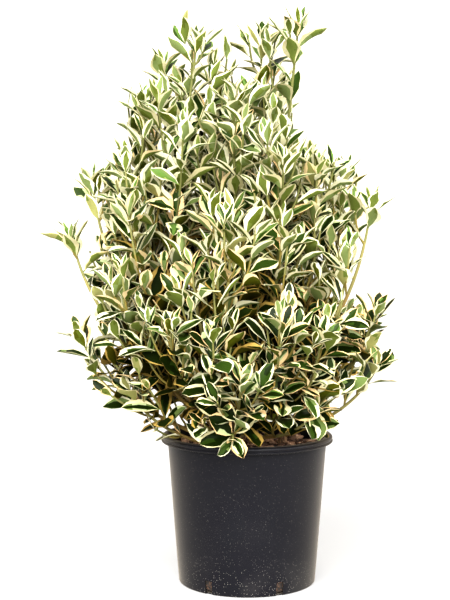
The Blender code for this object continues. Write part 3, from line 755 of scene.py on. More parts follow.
def pot_profile(pot):
    """The section of the pot: floor, inner wall, rolled lip with a groove and a bead, wall and foot."""
    wall, fillet, top = pot.wall, pot.fillet, pot.height
    floor_edge = wall_radius(pot, fillet) - wall
    neck = wall_radius(pot, top) - wall
    lip, foot = pot.lip_radius, top - pot.lip_drop
    shelf = top - wall
    stand, slope = FOOT_RING
    return [
        (0, wall),
        *arc((floor_edge - fillet, wall + fillet), fillet, -90, 0, 5),
        *arc((neck + NECK_ROUND, top - NECK_ROUND), NECK_ROUND, 180, 90, 6),
        *((lip - inset, top - drop) for inset, drop in LIP_DIP),
        *arc((lip - LIP_ROLL_CENTRE, top - LIP_ROLL_CENTRE), LIP_ROLL, 78, 0, 7),
        *((lip - inset, foot + rise) for inset, rise in LIP_GROOVE),
        *arc((lip - LIP_BEAD, foot + LIP_BEAD), LIP_BEAD, 75, -90, 6),
        (lip - wall, foot + LIP_FOOT_RISE),
        (lip - wall, shelf - CHAMFER),
        (lip - wall - CHAMFER, shelf),
        (wall_radius(pot, shelf) + CHAMFER, shelf),
        (wall_radius(pot, shelf - CHAMFER), shelf - CHAMFER),
        *((wall_radius(pot, height), height) for height in WALL_RINGS),
        *arc((pot.foot_radius - fillet, fillet), fillet, 0, -90, 6),
        (pot.foot_radius - stand, 0),
        (pot.foot_radius - slope, FOOT_RISE),
        (0, FOOT_RISE),
    ]


def slot_cutter(pot, number):
    """A bar with rounded corners that cuts one drain slot through the wall at the foot."""
    turn = Matrix.Rotation(pot.slot_turn + number * math.tau / pot.slots, 4, "Z")
    place = Matrix.Translation((pot.foot_radius, 0, 0))
    stretch = Matrix.Diagonal((SLOT_DEPTH, pot.slot_width, 2 * pot.slot_height, 1))
    bm = bmesh.new()
    bmesh.ops.create_cube(bm, size=1, matrix=turn @ place @ stretch)
    through = turn @ Vector((1, 0, 0))
    sides = [e for e in bm.edges if abs((e.verts[0].co - e.verts[1].co).normalized().dot(through)) > 0.99]
    bevel(bm, sides, SLOT_ROUND, 3)
    bmesh.ops.recalc_face_normals(bm, faces=bm.faces)
    return mesh_of(bm, "slot")


def soil_profile(pot):
    """The section of the soil: its flat top in fine rings, a rounded edge, and the inside of the pot."""
    inside = pot.wall + GAP
    edge = SOIL_HIGH.z - SOIL_EDGE_DROP
    shoulder_radius, shoulder_drop = SOIL_SHOULDER
    foot, foot_inset = SOIL_FOOT
    return [
        *((radius, SOIL_HIGH.z) for radius in np.linspace(0, SOIL_FLAT_RADIUS, SOIL_FLAT_RINGS)),
        (shoulder_radius, SOIL_HIGH.z - shoulder_drop),
        *((wall_radius(pot, height) - inside, height) for height in (edge, *SOIL_RINGS)),
        (wall_radius(pot, foot) - inside - foot_inset, foot),
        (wall_radius(pot, 0) - inside - SOIL_FLOOR_INSET, SOIL_LOW.z),
        (0, SOIL_LOW.z),
    ]


def chips_bmesh(soil):
    """Flat, irregular bark chips that lie on the soil at all angles, in two tones."""
    rng = random.Random(soil.seed)
    reach = SOIL_HIGH.x - CHIP_EDGE
    bm = bmesh.new()
    for _ in range(soil.chips):
        radius, turn = reach * math.sqrt(rng.random()), rng.uniform(0, math.tau)
        length = soil.chip_length * rng.uniform(*CHIP_LENGTHS)
        size = (length, length * rng.uniform(*CHIP_WIDTHS), length * rng.uniform(*CHIP_DEPTHS))
        tilts = [Matrix.Rotation(rng.gauss(0, tilt), 4, axis) for tilt, axis in zip(CHIP_TILTS, "XY")]
        centre = (radius * math.cos(turn), radius * math.sin(turn), SOIL_HIGH.z + size[2] * 0.5)
        spin = Matrix.Rotation(rng.uniform(0, math.tau), 4, "Z")
        matrix = Matrix.Translation(centre) @ spin @ (tilts[0] @ tilts[1]) @ Matrix.Diagonal((*size, 1))
        chip = bmesh.ops.create_cube(bm, size=1, matrix=matrix)["verts"]
        tone = int(rng.random() < BROWN_SHARE)
        for corner in chip:
            corner.co += Vector([rng.uniform(-1, 1) * extent * CHIP_CORNER_PLAY for extent in size])
            for face in corner.link_faces:
                face.material_index = tone
    bevel(bm, list(bm.edges), CHIP_BEVEL, 1)
    return bm


# Limbs

class Path:
    """A chain of straight stretches, read by the distance from its foot."""

    def __init__(self, points):
        self.points = [Vector(point) for point in points]
        self.marks = [0.0]
        for start, end in zip(self.points, self.points[1:]):
            self.marks.append(self.marks[-1] + (end - start).length)
        self.length = self.marks[-1]

    def at(self, distance):
        """The point and the direction at a distance."""
        index = 0
        while index < len(self.marks) - 2 and self.marks[index + 1] < distance:
            index += 1
        start, end = self.points[index], self.points[index + 1]
        direction = (end - start).normalized()
        return start + direction * (distance - self.marks[index]), direction

    def cut(self, first, last, step):
        """The points from one distance to another, about a step apart."""
        count = max(2, round((last - first) / step))
        return [self.at(first + (last - first) * i / count)[0] for i in range(count + 1)]


def stem_path(stem):
    """The stem's course: straight up from its flat cut, then leaning to the fork."""
    foot = Vector((*stem.foot, SOIL_HIGH.z + GAP))
    above = foot + UP * STEM_CUT_HEIGHT
    fork = Vector(stem.fork)
    lean = (fork - above).normalized()
    pull = (fork - above).length * CURVE_PULL
    curve = interpolate_bezier(above, above + UP * pull, fork - lean * pull, fork, STEM_POINTS)
    return Path([foot, *curve])


def shoot_course(shoot, stem):
    """The whole course of a bough and its shoot, from the stem's axis or fork to the tip."""
    tip = Vector(shoot.tip)
    if shoot.leaves_at is None:
        start, away = stem.at(stem.length)
        start = start + away * GAP
    else:
        share = (shoot.leaves_at - SOIL_HIGH.z) / (stem.points[-1].z - SOIL_HIGH.z)
        start = stem.at(stem.length * share)[0]
    level = Vector((tip.x - start.x, tip.y - start.y, 0))
    climb = math.atan2(tip.z - start.z, level.length)
    level.normalize()
    leave, arrive = climb - START_DROP, min(climb + END_RISE, MOST_CLIMB)
    if climb < ARCHED_BELOW:
        leave, arrive = climb + START_DROP, climb - END_RISE
    if shoot.leaves_at is not None:
        away = level * math.cos(leave) + UP * math.sin(leave)
    into = level * math.cos(arrive) + UP * math.sin(arrive)
    pull = (tip - start).length * CURVE_PULL
    return Path(interpolate_bezier(start, start + away * pull, tip - into * pull, tip, COURSE_POINTS))


def limbs_bmesh(name, limbs, sides, finishes):
    """A bmesh of tapering limbs: each is a spline of (points, radii, slot) with filled caps."""
    curve = bpy.data.curves.new(name, "CURVE")
    curve.dimensions = "3D"
    curve.use_fill_caps = True
    curve.bevel_depth = 1.0
    curve.bevel_resolution = sides // 2 - 2
    for finish in finishes:
        curve.materials.append(finish)
    for points, radii, slot in limbs:
        spline = curve.splines.new("POLY")
        spline.material_index = slot
        spline.points.add(len(points) - 1)
        for knot, place, radius in zip(spline.points, points, radii):
            knot.co = (*place, 1)
            knot.radius = radius
    course = shown(name, curve)
    bpy.context.view_layer.update()
    mesh = bpy.data.meshes.new_from_object(course.evaluated_get(bpy.context.evaluated_depsgraph_get()))
    bpy.data.objects.remove(course)
    bpy.data.curves.remove(curve)
    bm = bmesh.new()
    bm.from_mesh(mesh)
    bmesh.ops.remove_doubles(bm, verts=bm.verts, dist=MERGE)
    bmesh.ops.recalc_face_normals(bm, faces=bm.faces)
    bpy.data.meshes.remove(mesh)
    return bm


def roughened(bm, height, scale, stretch):
    """Moves each corner of a limb along its normal by a long-grained noise, as bark stands up."""
    bm.normal_update()
    for corner in bm.verts:
        place = Vector((corner.co.x * scale, corner.co.y * scale, corner.co.z * scale / stretch))
        corner.co += corner.normal * height * noise.fractal(place, *NOISE_STEPS, GRAIN_OCTAVES)
    return bm


def ringed(radii, marks, bark, rng):
    """Radii with the low rings that old leaves left on a limb."""
    place = bark.ring_spacing * rng.uniform(*FIRST_RING)
    rings = []
    while place < marks[-1]:
        rings.append(place)
        place += bark.ring_spacing * rng.uniform(*RING_PLAY)
    return [
        radius + bark.ring_height * sum(math.exp(-(((mark - ring) / RING_WIDTH) ** 2)) for ring in rings)
        for radius, mark in zip(radii, marks)
    ]


def even(count, first, last):
    """Evenly spaced values from the first to the last."""
    return [first + (last - first) * i / (count - 1) for i in range(count)]


def bark_piece(node, points, radii, sides, relief, bark, finish):
    """Shows one bare limb with its bark in relief, in place of its plain CAD node."""
    bm = limbs_bmesh(node, [(points, radii, 0)], sides, [finish])
    mesh = mesh_of(roughened(bm, relief * bark.depth, bark.grain, GRAIN_STRETCH), "bark_" + node, [finish])
    smooth(mesh, 60)
    new_piece("bark_" + node, mesh, [node])


# Growth: the source's rule, carried on

def outward(direction, turn):
    """The sideways direction at a turn round a twig."""
    return UP.rotation_difference(direction) @ Vector((math.cos(turn), math.sin(turn), 0))


def leaf_at(root, direction, turn, spread, length, roll, age):
    """A leaf on its root: its turn takes a leaf that lies along Y, face up, to its place."""
    side = outward(direction, turn)
    blade = direction * math.cos(spread) + side * math.sin(spread)
    blade = (blade + UP * LEAF_LIFT).normalized()
    face = direction * math.sin(spread) - side * math.cos(spread) + UP * SUNWARD
    face = (face - blade * face.dot(blade)).normalized()
    across = blade.cross(face)
    turned_leaf = Matrix((across, blade, face)).transposed() @ Matrix.Rotation(roll, 3, "Y")
    return Leaf(root, turned_leaf, length, age)


def pair_places(length, growth, most):
    """Distances along a twig to its leaf pairs, from the tip down."""
    places = []
    place = length - TIP_BARE
    spacing = FIRST_SPACING
    while place > FOOT_BARE:
        places.append(place)
        place -= spacing
        spacing = min(spacing * growth, most)
    return places


def leaves_of(path, growth, most, first_turn, leaf, rng):
    """The leaves of one twig, pair by pair from its tip. At the crown's sides a leaf stands more upright."""
    leaves = []
    for pair, place in enumerate(pair_places(path.length, growth, most)):
        root, direction = path.at(place)
        spread = min(YOUNG_SPREAD + SPREAD_PER_PAIR * pair, MOST_SPREAD)
        length = leaf.length * min(YOUNG_LENGTH + LENGTH_PER_PAIR * pair, 1.0)
        age = min(pair / FULL_AGE_PAIRS, 1.0)
        for half in range(2):
            turn = first_turn + pair * math.pi / 2 + half * math.pi + rng.uniform(-ANGLE_PLAY, ANGLE_PLAY)
            angle = spread + rng.uniform(-ANGLE_PLAY, ANGLE_PLAY)
            full = length * (1 + rng.uniform(-LENGTH_PLAY, LENGTH_PLAY))
            roll = rng.uniform(-ROLL_PLAY, ROLL_PLAY) * (TIP_ROLL_SHARE if pair < TIP_PAIRS else 1)
            for upright in UPRIGHT_SHARES:
                grown = leaf_at(root, direction, turn, angle * upright, full, roll, age)
                if pair < TIP_PAIRS or in_crown(tip_of(grown)):
                    leaves.append(grown)
                    break
            else:
                if on_left_arm(root):
                    leaves.append(grown)
    return leaves


def side_twig(root, direction, turn, spread, length):
    """A short twig that leaves its limb sideways and bends up with it, more so higher in the crown."""
    away = direction * math.cos(spread) + outward(direction, turn) * math.sin(spread)
    low, high = RISES_FROM
    rise = LOW_RISE + (TWIG_RISE - LOW_RISE) * min(max((root.z - low) / (high - low), 0.0), 1.0)
    later = (away * OWN_WAY + direction * LIMB_WAY + UP * rise).normalized()
    before, after = BEND_SHARES
    bend = root + away * length * before
    tip = bend + later * length * after
    return Path(interpolate_bezier(root, bend, bend + later * length * BEND_PULL, tip, SIDE_TWIG_POINTS))


class Crown:
    """Which places are free: it knows the shoots' courses and every leaf that is kept."""

    def __init__(self, courses, reach):
        points = [point for course in courses for point in course.cut(0, course.length, COURSE_STEP)]
        self.reach = reach
        self.tree = KDTree(len(points))
        for number, point in enumerate(points):
            self.tree.insert(point, number)
        self.tree.balance()
        self.cells = {}

    def in_reach(self, point):
        """Whether a twig's tip stays in the crown's body and close to a main shoot, closer higher up."""
        closer = min(max((SKY_HEIGHT - point.z) / SKY_DEPTH, SKY_LEAST), 1.0)
        return in_crown(point) and self.tree.find(point)[2] < self.reach * closer

    def keeps(self, leaf, width, inside=False):
        """Keeps a leaf where it stays in the box, off the pot and out of every other leaf."""
        if inside and not in_crown(tip_of(leaf)) and not on_left_arm(leaf.root):
            return False
        corners = [leaf.root + leaf.turn @ Vector((x * width, y, z)) * leaf.length for x, y, z in ROUGH_LEAF]
        if not off_pot(corners):
            return False
        blade = BVHTree.FromPolygons(corners, ROUGH_FACES)
        home = tuple(int(value // CELL) for value in corners[-1])
        for step in product((-1, 0, 1), repeat=3):
            near = tuple(place + way for place, way in zip(home, step))
            if any(blade.overlap(other) for other in self.cells.get(near, ())):
                return False
        self.cells.setdefault(home, []).append(blade)
        return True


def crown_sides(height):
    """The crown's left and right side at a height, or at many heights."""
    heights, left, right = zip(*CROWN_SIDES)
    return np.interp(height, heights, left), np.interp(height, heights, right)


def in_crown(point):
    """Whether a point is in the crown's body, between its sides at that height."""
    left, right = crown_sides(point.z)
    return left < point.x * (1 - FRONT_NARROWS * point.y) < right


def on_left_arm(point):
    """Whether a point is on an arm that stands out of the crown's left side, and is leafy all along."""
    return point.x < 0 and not in_crown(point)


def tip_of(leaf):
    return leaf.root + leaf.turn.col[1] * leaf.length


def clear_of_pot(places, clearances):
    """Which places are over the lip, outside it or over the soil, by these clearances."""
    over, beside, above = clearances
    x, y, z = np.moveaxis(places, -1, 0)
    radius = np.hypot(x, y)
    over_soil = (radius < SOIL_HIGH.x - SOIL_RIM) & (z > SOIL_HIGH.z + above)
    return (z > POT_HIGH.z + over) | (radius > POT_HIGH.x + beside) | over_soil


def off_pot(points):
    """Whether a leaf's rough corners all stay in the box and clear of the pot."""
    places = np.array([tuple(point) for point in points])
    in_box = (places > LEAF_BOX[0]) & (places < LEAF_BOX[1])
    return bool(in_box.all() and clear_of_pot(places, ROUGH_CLEARANCES).all())


def side_of(name):
    """The part of the crown that a shoot belongs to."""
    if name.endswith(("crest", "peak")):
        return "crest"
    return "front" if name.startswith("rim") else name.split("_")[0]


def rises(path):
    """Whether a twig sets out upwards, level or only a little downwards."""
    return path.at(0)[1].z > MOST_DROP


def shoot_twigs(name, path, first_turn, leaf, crown, twig):
    """The side twigs of one shoot, above its leaf pairs."""
    made = []
    for pair, place in enumerate(pair_places(path.length, SPACING_GROWTH, leaf.spacing)):
        if pair < SIDE_TWIG_FIRST:
            continue
        rng = random.Random(f"{twig.seed} {name} {pair}")
        for half in range(2):
            wanted = rng.random() < twig.share
            length = min(SIDE_TWIG_LENGTH + SIDE_TWIG_GAIN * pair, SIDE_TWIG_MOST)
            length *= 1 + rng.uniform(*SIDE_TWIG_PLAY)
            turn = first_turn + pair * math.pi / 2 + math.pi * half + rng.uniform(-TURN_PLAY, TURN_PLAY)
            if wanted:
                root, direction = path.at(place)
                length *= ARM_TWIG_SHARE if on_left_arm(root) else 1
                grown = side_twig(root, direction, turn, SIDE_TWIG_SPREAD, length)
                if (crown.in_reach(grown.points[-1]) or on_left_arm(root)) and rises(grown):
                    made.append((grown, rng))
    return made


def limb_twigs(name, path, last, crown, twig):
    """The leafy twigs that leave a bare limb at its old nodes, up to a distance from its foot."""
    made = []
    rng = random.Random(f"{twig.seed} limb {name}")
    place = LIMB_FOOT_BARE
    turn = rng.uniform(0, math.tau)
    while place < last:
        length = rng.uniform(*LIMB_TWIG_LENGTH)
        for half in range(2):
            if rng.random() < twig.limb_share:
                root, direction = path.at(place)
                grown = side_twig(root, direction, turn + half * math.pi, LIMB_TWIG_SPREAD, length)
                if crown.in_reach(grown.points[-1]) and off_pot(grown.points[-1:]) and rises(grown):
                    made.append((grown, rng))
        turn += math.pi / 2 + rng.uniform(-TURN_PLAY, TURN_PLAY)
        place += LIMB_NODE * rng.uniform(*NODE_PLAY)
    return made


def grow_twigs(spray, twigs, leaf, crown):
    """Adds side twigs and the leaves that find room on them. A twig with too few leaves is left off."""
    for path, rng in twigs:
        first_turn = rng.uniform(0, math.pi)
        wanted = leaves_of(path, SIDE_SPACING_GROWTH, leaf.side_spacing, first_turn, leaf, rng)
        kept = [grown for grown in wanted if crown.keeps(grown, leaf.width, inside=True)]
        if len(kept) >= LEAST_LEAVES:
            spray.twigs.append(Twig(path, TWIG_RADIUS, TWIG_TIP_RADIUS, SIDE_TWIG_AGE))
            spray.leaves.extend(kept)


def grown_sprays(scene):
    """The whole crown as sprays: the main shoots first, then their side twigs, then the limbs' own."""
    leaf, twig = scene.spindle_leaf, scene.spindle_twig
    key = (leaf.length, leaf.width, leaf.spacing, leaf.side_spacing)
    key += (twig.share, twig.limb_share, twig.reach, twig.seed)
    if GROWN.get("key") == key:
        return GROWN["sprays"]
    stems = {name: stem_path(stem) for name, stem in STEMS.items()}
    courses = {name: shoot_course(shoot, stems[shoot.stem]) for name, shoot in SHOOTS.items()}
    bare = {name: courses[name].length * BARE_SHARE if shoot.bough else 0.0 for name, shoot in SHOOTS.items()}
    paths = {
        name: Path(course.cut(bare[name], course.length, COURSE_STEP)) for name, course in courses.items()
    }
    crown = Crown(paths.values(), twig.reach)
    sprays = {name: Spray(side_of(name), [], []) for name in SHOOTS}
    turns = {}
    for index, (name, path) in enumerate(paths.items()):
        rng = random.Random(twig.seed + index)
        turns[name] = rng.uniform(0, math.pi)
        foot = SHOOT_RADIUS + SHOOT_RADIUS_GAIN * path.length
        sprays[name].twigs.append(Twig(path, foot, TWIG_TIP_RADIUS, 1.0))
        for grown in leaves_of(path, SPACING_GROWTH, leaf.spacing, turns[name], leaf, rng):
            if crown.keeps(grown, leaf.width):
                sprays[name].leaves.append(grown)
    for name, path in paths.items():
        extra = shoot_twigs(name, path, turns[name], leaf, crown, twig)
        if SHOOTS[name].bough:
            extra += limb_twigs(name, courses[name], bare[name], crown, twig)
        grow_twigs(sprays[name], extra, leaf, crown)
    for name, path in stems.items():
        sprays["stem_" + name] = Spray("inner", [], [])
        grow_twigs(sprays["stem_" + name], limb_twigs(name, path, path.length, crown, twig), leaf, crown)
    GROWN.update(key=key, sprays=sprays)
    return sprays


# Leaves

def ramp(value, start, full):
    """How far values are on their way from a start to where a change is full, from 0 to 1."""
    return np.clip((value - start) / (full - start), 0, 1)


def uneven(value, play, rng, shape):
    """Values that differ by chance and stay within limits."""
    by, least, most = play
    return np.clip(value + rng.normal(0, by, shape), least, most)


def leaf_template():
    """One flat leaf from two grids, the upper face and the underside, welded along the rim."""
    bm = bmesh.new()
    across = bm.verts.layers.int.new("column")
    along = bm.verts.layers.int.new("row")
    under = bm.verts.layers.int.new("under")
    side = bm.faces.layers.int.new("under")
    strip = bm.faces.layers.int.new("column")
    stretch = bm.faces.layers.int.new("row")
    for lower, steps in enumerate((UPPER_COLUMNS, UNDER_COLUMNS)):
        columns = len(steps) - 1
        grid = bmesh.ops.create_grid(bm, x_segments=columns, y_segments=LEAF_ROWS, size=1)["verts"]
        faces = {face for corner in grid for face in corner.link_faces}
        for face in faces:
            middle = face.calc_center_median()
            face[side] = lower
            face[strip] = int((middle.x + 1) / 2 * columns)
            face[stretch] = int((middle.y + 1) / 2 * LEAF_ROWS)
        for corner in grid:
            column = steps[round((corner.co.x + 1) / 2 * columns)]
            row = round((corner.co.y + 1) / 2 * LEAF_ROWS)
            inner = lower and abs(column) < RIM and 0 < row < LEAF_ROWS
            corner[across], corner[along], corner[under] = column, row, int(inner)
            corner.co = (column / RIM * ROW_WIDTHS[row], ROW_PLACES[row], -UNDER_DROP if inner else 0)
        if lower:
            bmesh.ops.reverse_faces(bm, faces=list(faces))
    bmesh.ops.remove_doubles(bm, verts=bm.verts, dist=MERGE)
    bm.verts.index_update()
    corners = np.array([(v[across], v[along], v[under]) for v in bm.verts])
    faces = [([v.index for v in face.verts], face[side], face[strip], face[stretch]) for face in bm.faces]
    bm.free()
    return corners, faces


def leaf_columns(height, corners, leaf, rng):
    """Where each corner lies from the rib, 0, to a rim, 1 or -1. The heart and the green end unevenly."""
    column, row, under = corners.T
    each_row = (len(height), LEAF_ROWS + 1, 2)
    pale = rng.random(height.shape) < leaf.pale_share * (1 + ramp(height, *MORE_PALE))
    waist = ramp(height, *WAIST_FROM_BELOW) * ramp(height, *WAIST_FROM_ABOVE)
    share = leaf.green_share - leaf.paler_waist * waist
    share = share - LESS_GREEN_LOW_BY * ramp(height, *LESS_GREEN_LOW)
    share = share - LESS_GREEN_HIGH_BY * ramp(height, *LESS_GREEN_HIGH)
    green = uneven(share[..., None], GREEN_PLAY, rng, (len(height), 1, 1))
    green = np.where(pale[..., None], GREEN_OF_PALE, green)
    edge = uneven(green, EDGE_PLAY, rng, each_row)
    under_edge = uneven(green - UNDER_EDGE_INSET, UNDER_EDGE_PLAY, rng, each_row)
    heart = edge * rng.uniform(*HEART_SHARES, each_row)
    rib, rim = np.zeros_like(edge), np.ones_like(edge)
    levels = np.stack([rib, heart, edge, rim, under_edge], axis=-1)
    level = np.where((under == 1) & (np.abs(column) == 2), UNDER_EDGE, np.abs(column))
    return np.sign(column) * levels[:, row, (column > 0).astype(int), level]


def leaf_rows(height, corners, rng):
    """How wide a leaf is at each corner and how far along that is: low leaves are blunt, and no two alike."""
    column, row, _ = corners.T
    each = (len(height), len(corners))
    blunt = np.maximum(ramp(height, *BLUNTER), BLUNT_LEAST) * rng.uniform(*BLUNT_PLAY, height.shape)
    wide = ROW_WIDTHS[row] + blunt * (BLUNT_WIDTHS - ROW_WIDTHS)[row]
    wide = wide * (1 + rng.normal(0, RIM_PLAY, each) * (np.abs(column) == RIM))
    along = ROW_PLACES[row] + rng.normal(0, ROW_PLAY, each) * (np.abs(column) < RIM)
    ends = (row == 0) | (row == LEAF_ROWS)
    along[:, ends] = ROW_PLACES[row[ends]]
    return wide, along


def leaf_shapes(leaves, corners, leaf, rng):
    """Every corner of every leaf: each has its own width, margin, curl, fold, wave and twist."""
    each = (len(leaves), 1)
    column, _, under = corners.T
    length, age, height = np.array([(grown.length, grown.age, grown.root.z) for grown in leaves]).T[..., None]
    half = length * leaf.width / 2 * rng.uniform(*WIDTH_PLAY, each)
    half = half * (YOUNG_WIDTH + (1 - YOUNG_WIDTH) * np.minimum(age * WIDENING, 1))
    half = half * (1 - NARROWER_BY * ramp(height, *NARROWER))
    across = leaf_columns(height, corners, leaf, rng)
    wide, along = leaf_rows(height, corners, rng)
    x = across * wide * half
    curl = rng.normal(leaf.curl, CURL_PLAY, each) * (YOUNG_CURL + (1 - YOUNG_CURL) * age)
    curl = np.where(np.abs(curl) < CURL_LEAST, CURL_LEAST, curl)
    y = length * np.sin(curl * along) / curl
    z = -length * (1 - np.cos(curl * along)) / curl
    fold = np.tan(uneven(leaf.fold, FOLD_PLAY, rng, each))
    waves = along * rng.uniform(*WAVES, each) + rng.uniform(*WAVE_STARTS, each)
    wave = np.sin(waves + (column > 0) * WAVE_SHIFT)
    z += np.abs(x) * (fold * (FOLD_AT_FOOT - FOLD_LOSS * along) + wave * rng.uniform(*WAVE_HEIGHTS, each))
    z -= under * length * leaf.thickness
    twist = rng.normal(0, TWIST_PLAY, each) * along
    x, z = x * np.cos(twist) + z * np.sin(twist), z * np.cos(twist) - x * np.sin(twist)
    turns = np.array([[list(line) for line in grown.turn] for grown in leaves])
    roots = np.array([tuple(grown.root) for grown in leaves])
    places = np.einsum("nij,nvj->nvi", turns, np.stack([x, y, z], axis=-1)) + roots[:, None, :]
    return places, np.stack([across * 0.5 + 0.5, along], axis=-1)


def leaf_parts(leaves, rng):
    """The tone of each part of each leaf, by its age, its height and how deep in the crown it is: deep
    inside, dark tones give painted shade.
    """
    count = len(leaves)
    across, back, height = np.array([tuple(grown.root) for grown in leaves]).T
    age = np.array([grown.age for grown in leaves])
    left, right = crown_sides(height)
    out = np.hypot((across - (left + right) / 2) / (right - left), back / (right - left) / CROWN_DEPTH) * 2
    low, middle, high = ramp(height, *LOW_PART), ramp(height, *MIDDLE_PART), ramp(height, *HIGH_PART)
    shaded_to, more_low, fade = SHADED_OUT_TO
    # Painted shade: the chance that a leaf takes dark tones grows deeper inside the crown and lower down.
    inner = np.clip((shaded_to + more_low * low - out) / fade, 0, 1) * ramp(height, *SHADED)
    in_painted_shade = rng.random(count) < inner
    young = (age < YOUNG_AGE) & (height > YOUNG_ABOVE)

    def pick(**choices):
        """One tone for each leaf, by the shares of the tones."""
        shares = [np.broadcast_to(share, count) for share in choices.values()]
        shares = np.stack(shares, axis=-1).astype(float)
        steps = np.cumsum(shares / shares.sum(axis=1, keepdims=True), axis=1)
        chosen = (rng.random((count, 1)) > steps).sum(axis=1)
        return np.array([TONE[name] for name in choices])[np.minimum(chosen, len(choices) - 1)]

    # Lower down, hearts and undersides take darker tones more often, and higher up undersides take the pale
    # tone more often: partly the leaves' own colour, partly painted shade low in the crown and painted light
    # high in it.
    parts = {
        "heart": pick(
            deep_green=0.25 + 0.75 * low,
            green=0.45,
            fresh_green=np.where(young, 0.34, 0.06) * (1 - 0.8 * low),
            grey_green=0.18 + 0.06 * high - 0.10 * low,
        ),
        "second": pick(
            deep_green=0.3 + 0.5 * low, green=0.5, fresh_green=0.22 - 0.17 * low, grey_green=0.25 - 0.10 * low
        ),
        "margin": pick(cream=0.50, butter=0.38, tan=0.05 + 0.20 * middle + 0.16 * low),
        "below": pick(
            under_olive=0.50,
            under_moss=0.10 + 0.45 * low,
            under_pale=np.where(young, 0.5, 0.25) + 0.25 * high,
            under_grey=0.14 + 0.30 * low,
        ),
        "below_margin": pick(under_cream=0.72, under_tan=0.03 + 0.22 * middle + 0.20 * low, butter=0.20),
        "streak": pick(sage=0.50, grey_green=0.26, fresh_green=0.10, cream=0.14),
    }
    # Painted shade: leaves deep inside the crown take the dark tones instead of their own.
    for part, tone in PAINTED_SHADE_TONES.items():
        parts[part] = np.where(in_painted_shade, TONE[tone], parts[part])
    parts["blotch"] = np.array([TONE[BLOTCHES.get(tone, tone)] for tone in TONES])[parts["below"]]
    return parts


def leaf_tones(leaves, faces, rng):
    """The tone of every face: dark heart, mottled band and pale margin above, olive and cream below."""
    count = len(leaves)
    parts = leaf_parts(leaves, rng)
    streaks = (count, len(STREAK_SHARES))
    first = rng.integers(1, LEAF_ROWS - 1, streaks)
    last = first + rng.integers(*STREAK_ROWS, streaks)
    shows = rng.random(streaks) < STREAK_SHARES
    patched = rng.random((count, 2)) < BLOTCH_SHARE
    tones = np.empty((count, len(faces)), int)
    for number, (_, lower, strip, stretch) in enumerate(faces):
        strips = len(UNDER_COLUMNS if lower else UPPER_COLUMNS) - 1
        rim = min(strip, strips - 1 - strip)
        side = int(strip >= strips / 2)
        if lower:
            in_blotch = patched[:, side] & (stretch >= first[:, side]) & (stretch < last[:, side])
            tone = np.where(in_blotch, parts["blotch"], parts["below"]) if rim else parts["below_margin"]
        elif rim == 0:
            tone = parts["margin"]
        else:
            ribside = rim == 2
            streak = HEART_STREAK if ribside else side
            in_streak = shows[:, streak] & (stretch >= first[:, streak]) & (stretch < last[:, streak])
            other, plain = ("second", "heart") if ribside else ("streak", "second")
            tone = np.where(in_streak, parts[other], parts[plain])
        tones[:, number] = TONE["under_olive"] if stretch == 0 else tone
    return tones


def leaves_mesh(name, leaves, template, leaf, seed):
    """One mesh of many leaves, joined from arrays of the template's corners and faces."""
    corners, faces = template
    rng = np.random.default_rng(seed)
    places, maps = leaf_shapes(leaves, corners, leaf, rng)
    tones = leaf_tones(leaves, faces, rng)
    clear = clear_of_pot(places, LEAF_CLEARANCES).all(axis=1)
    places, maps, tones = places[clear], maps[clear], tones[clear]
    count = len(places)
    loops = np.concatenate([np.array(face[0]) for face in faces])
    lengths = np.array([len(face[0]) for face in faces])
    starts = np.concatenate([[0], np.cumsum(lengths)[:-1]])
    first_corner = (np.arange(count) * len(corners))[:, None]
    first_loop = (np.arange(count) * len(loops))[:, None]
    mesh = bpy.data.meshes.new(name)
    mesh.vertices.add(count * len(corners))
    mesh.vertices.foreach_set("co", places.astype(np.float32).ravel())
    mesh.loops.add(count * len(loops))
    mesh.loops.foreach_set("vertex_index", (loops + first_corner).astype(np.int32).ravel())
    mesh.polygons.add(count * len(faces))
    mesh.polygons.foreach_set("loop_start", (starts + first_loop).astype(np.int32).ravel())
    mesh.polygons.foreach_set("material_index", tones.astype(np.int32).ravel())
    mesh.uv_layers.new(name="leaf").data.foreach_set("uv", maps[:, loops].astype(np.float32).ravel())
    mesh.update(calc_edges=True)
    mesh.validate()
    smooth(mesh, 58)
    return mesh


# Sizes and colours that a user would change

def a_color(name, description, value):
    return FloatVectorProperty(
        name=name, description=description, default=value, subtype="COLOR", size=3, min=0, max=1
    )


def a_size(name, description, value):
    return FloatProperty(name=name, description=description, default=value, unit="LENGTH", precision=4)


def an_angle(name, description, value):
    return FloatProperty(name=name, description=description, default=value, subtype="ANGLE")


def a_number(name, description, value):
    return FloatProperty(name=name, description=description, default=value)


def a_count(name, description, value):
    return IntProperty(name=name, description=description, default=value)


class PotSettings(bpy.types.PropertyGroup):
    height: a_size("Height", "Height of the pot", POT_HIGH.z)
    lip_radius: a_size("Lip Radius", "Outer radius of the rolled lip", POT_HIGH.x)
    lip_drop: a_size("Lip Drop", "How far the lip turns down", 0.012)
    top_radius: a_size("Top Radius", "Outer radius of the body at the top", 0.1397)
    foot_radius: a_size("Foot Radius", "Outer radius of the body at the foot", 0.1197)
    wall: a_size("Wall", "Thickness of the wall", 0.0022)
    fillet: a_size("Fillet", "Radius of the rounded foot", 0.003)
    slot_width: a_size("Slot Width", "Width of a drain slot", 0.0135)
    slot_height: a_size("Slot Height", "Height of a drain slot", 0.024)
    slots: a_count("Slots", "How many drain slots the foot has", 6)
    slot_turn: an_angle("Slot Turn", "Direction of the first slot", math.radians(-122.5))
    steps: a_count("Steps", "Facets round the pot", 144)
    roughness: a_number("Roughness", "Roughness of the plastic", 0.34)
    plastic: a_color("Plastic", "Colour of the plastic", (0.0036, 0.0036, 0.0056))
    dust: a_color("Dust", "Colour of dry dust on the plastic", (0.40, 0.37, 0.32))


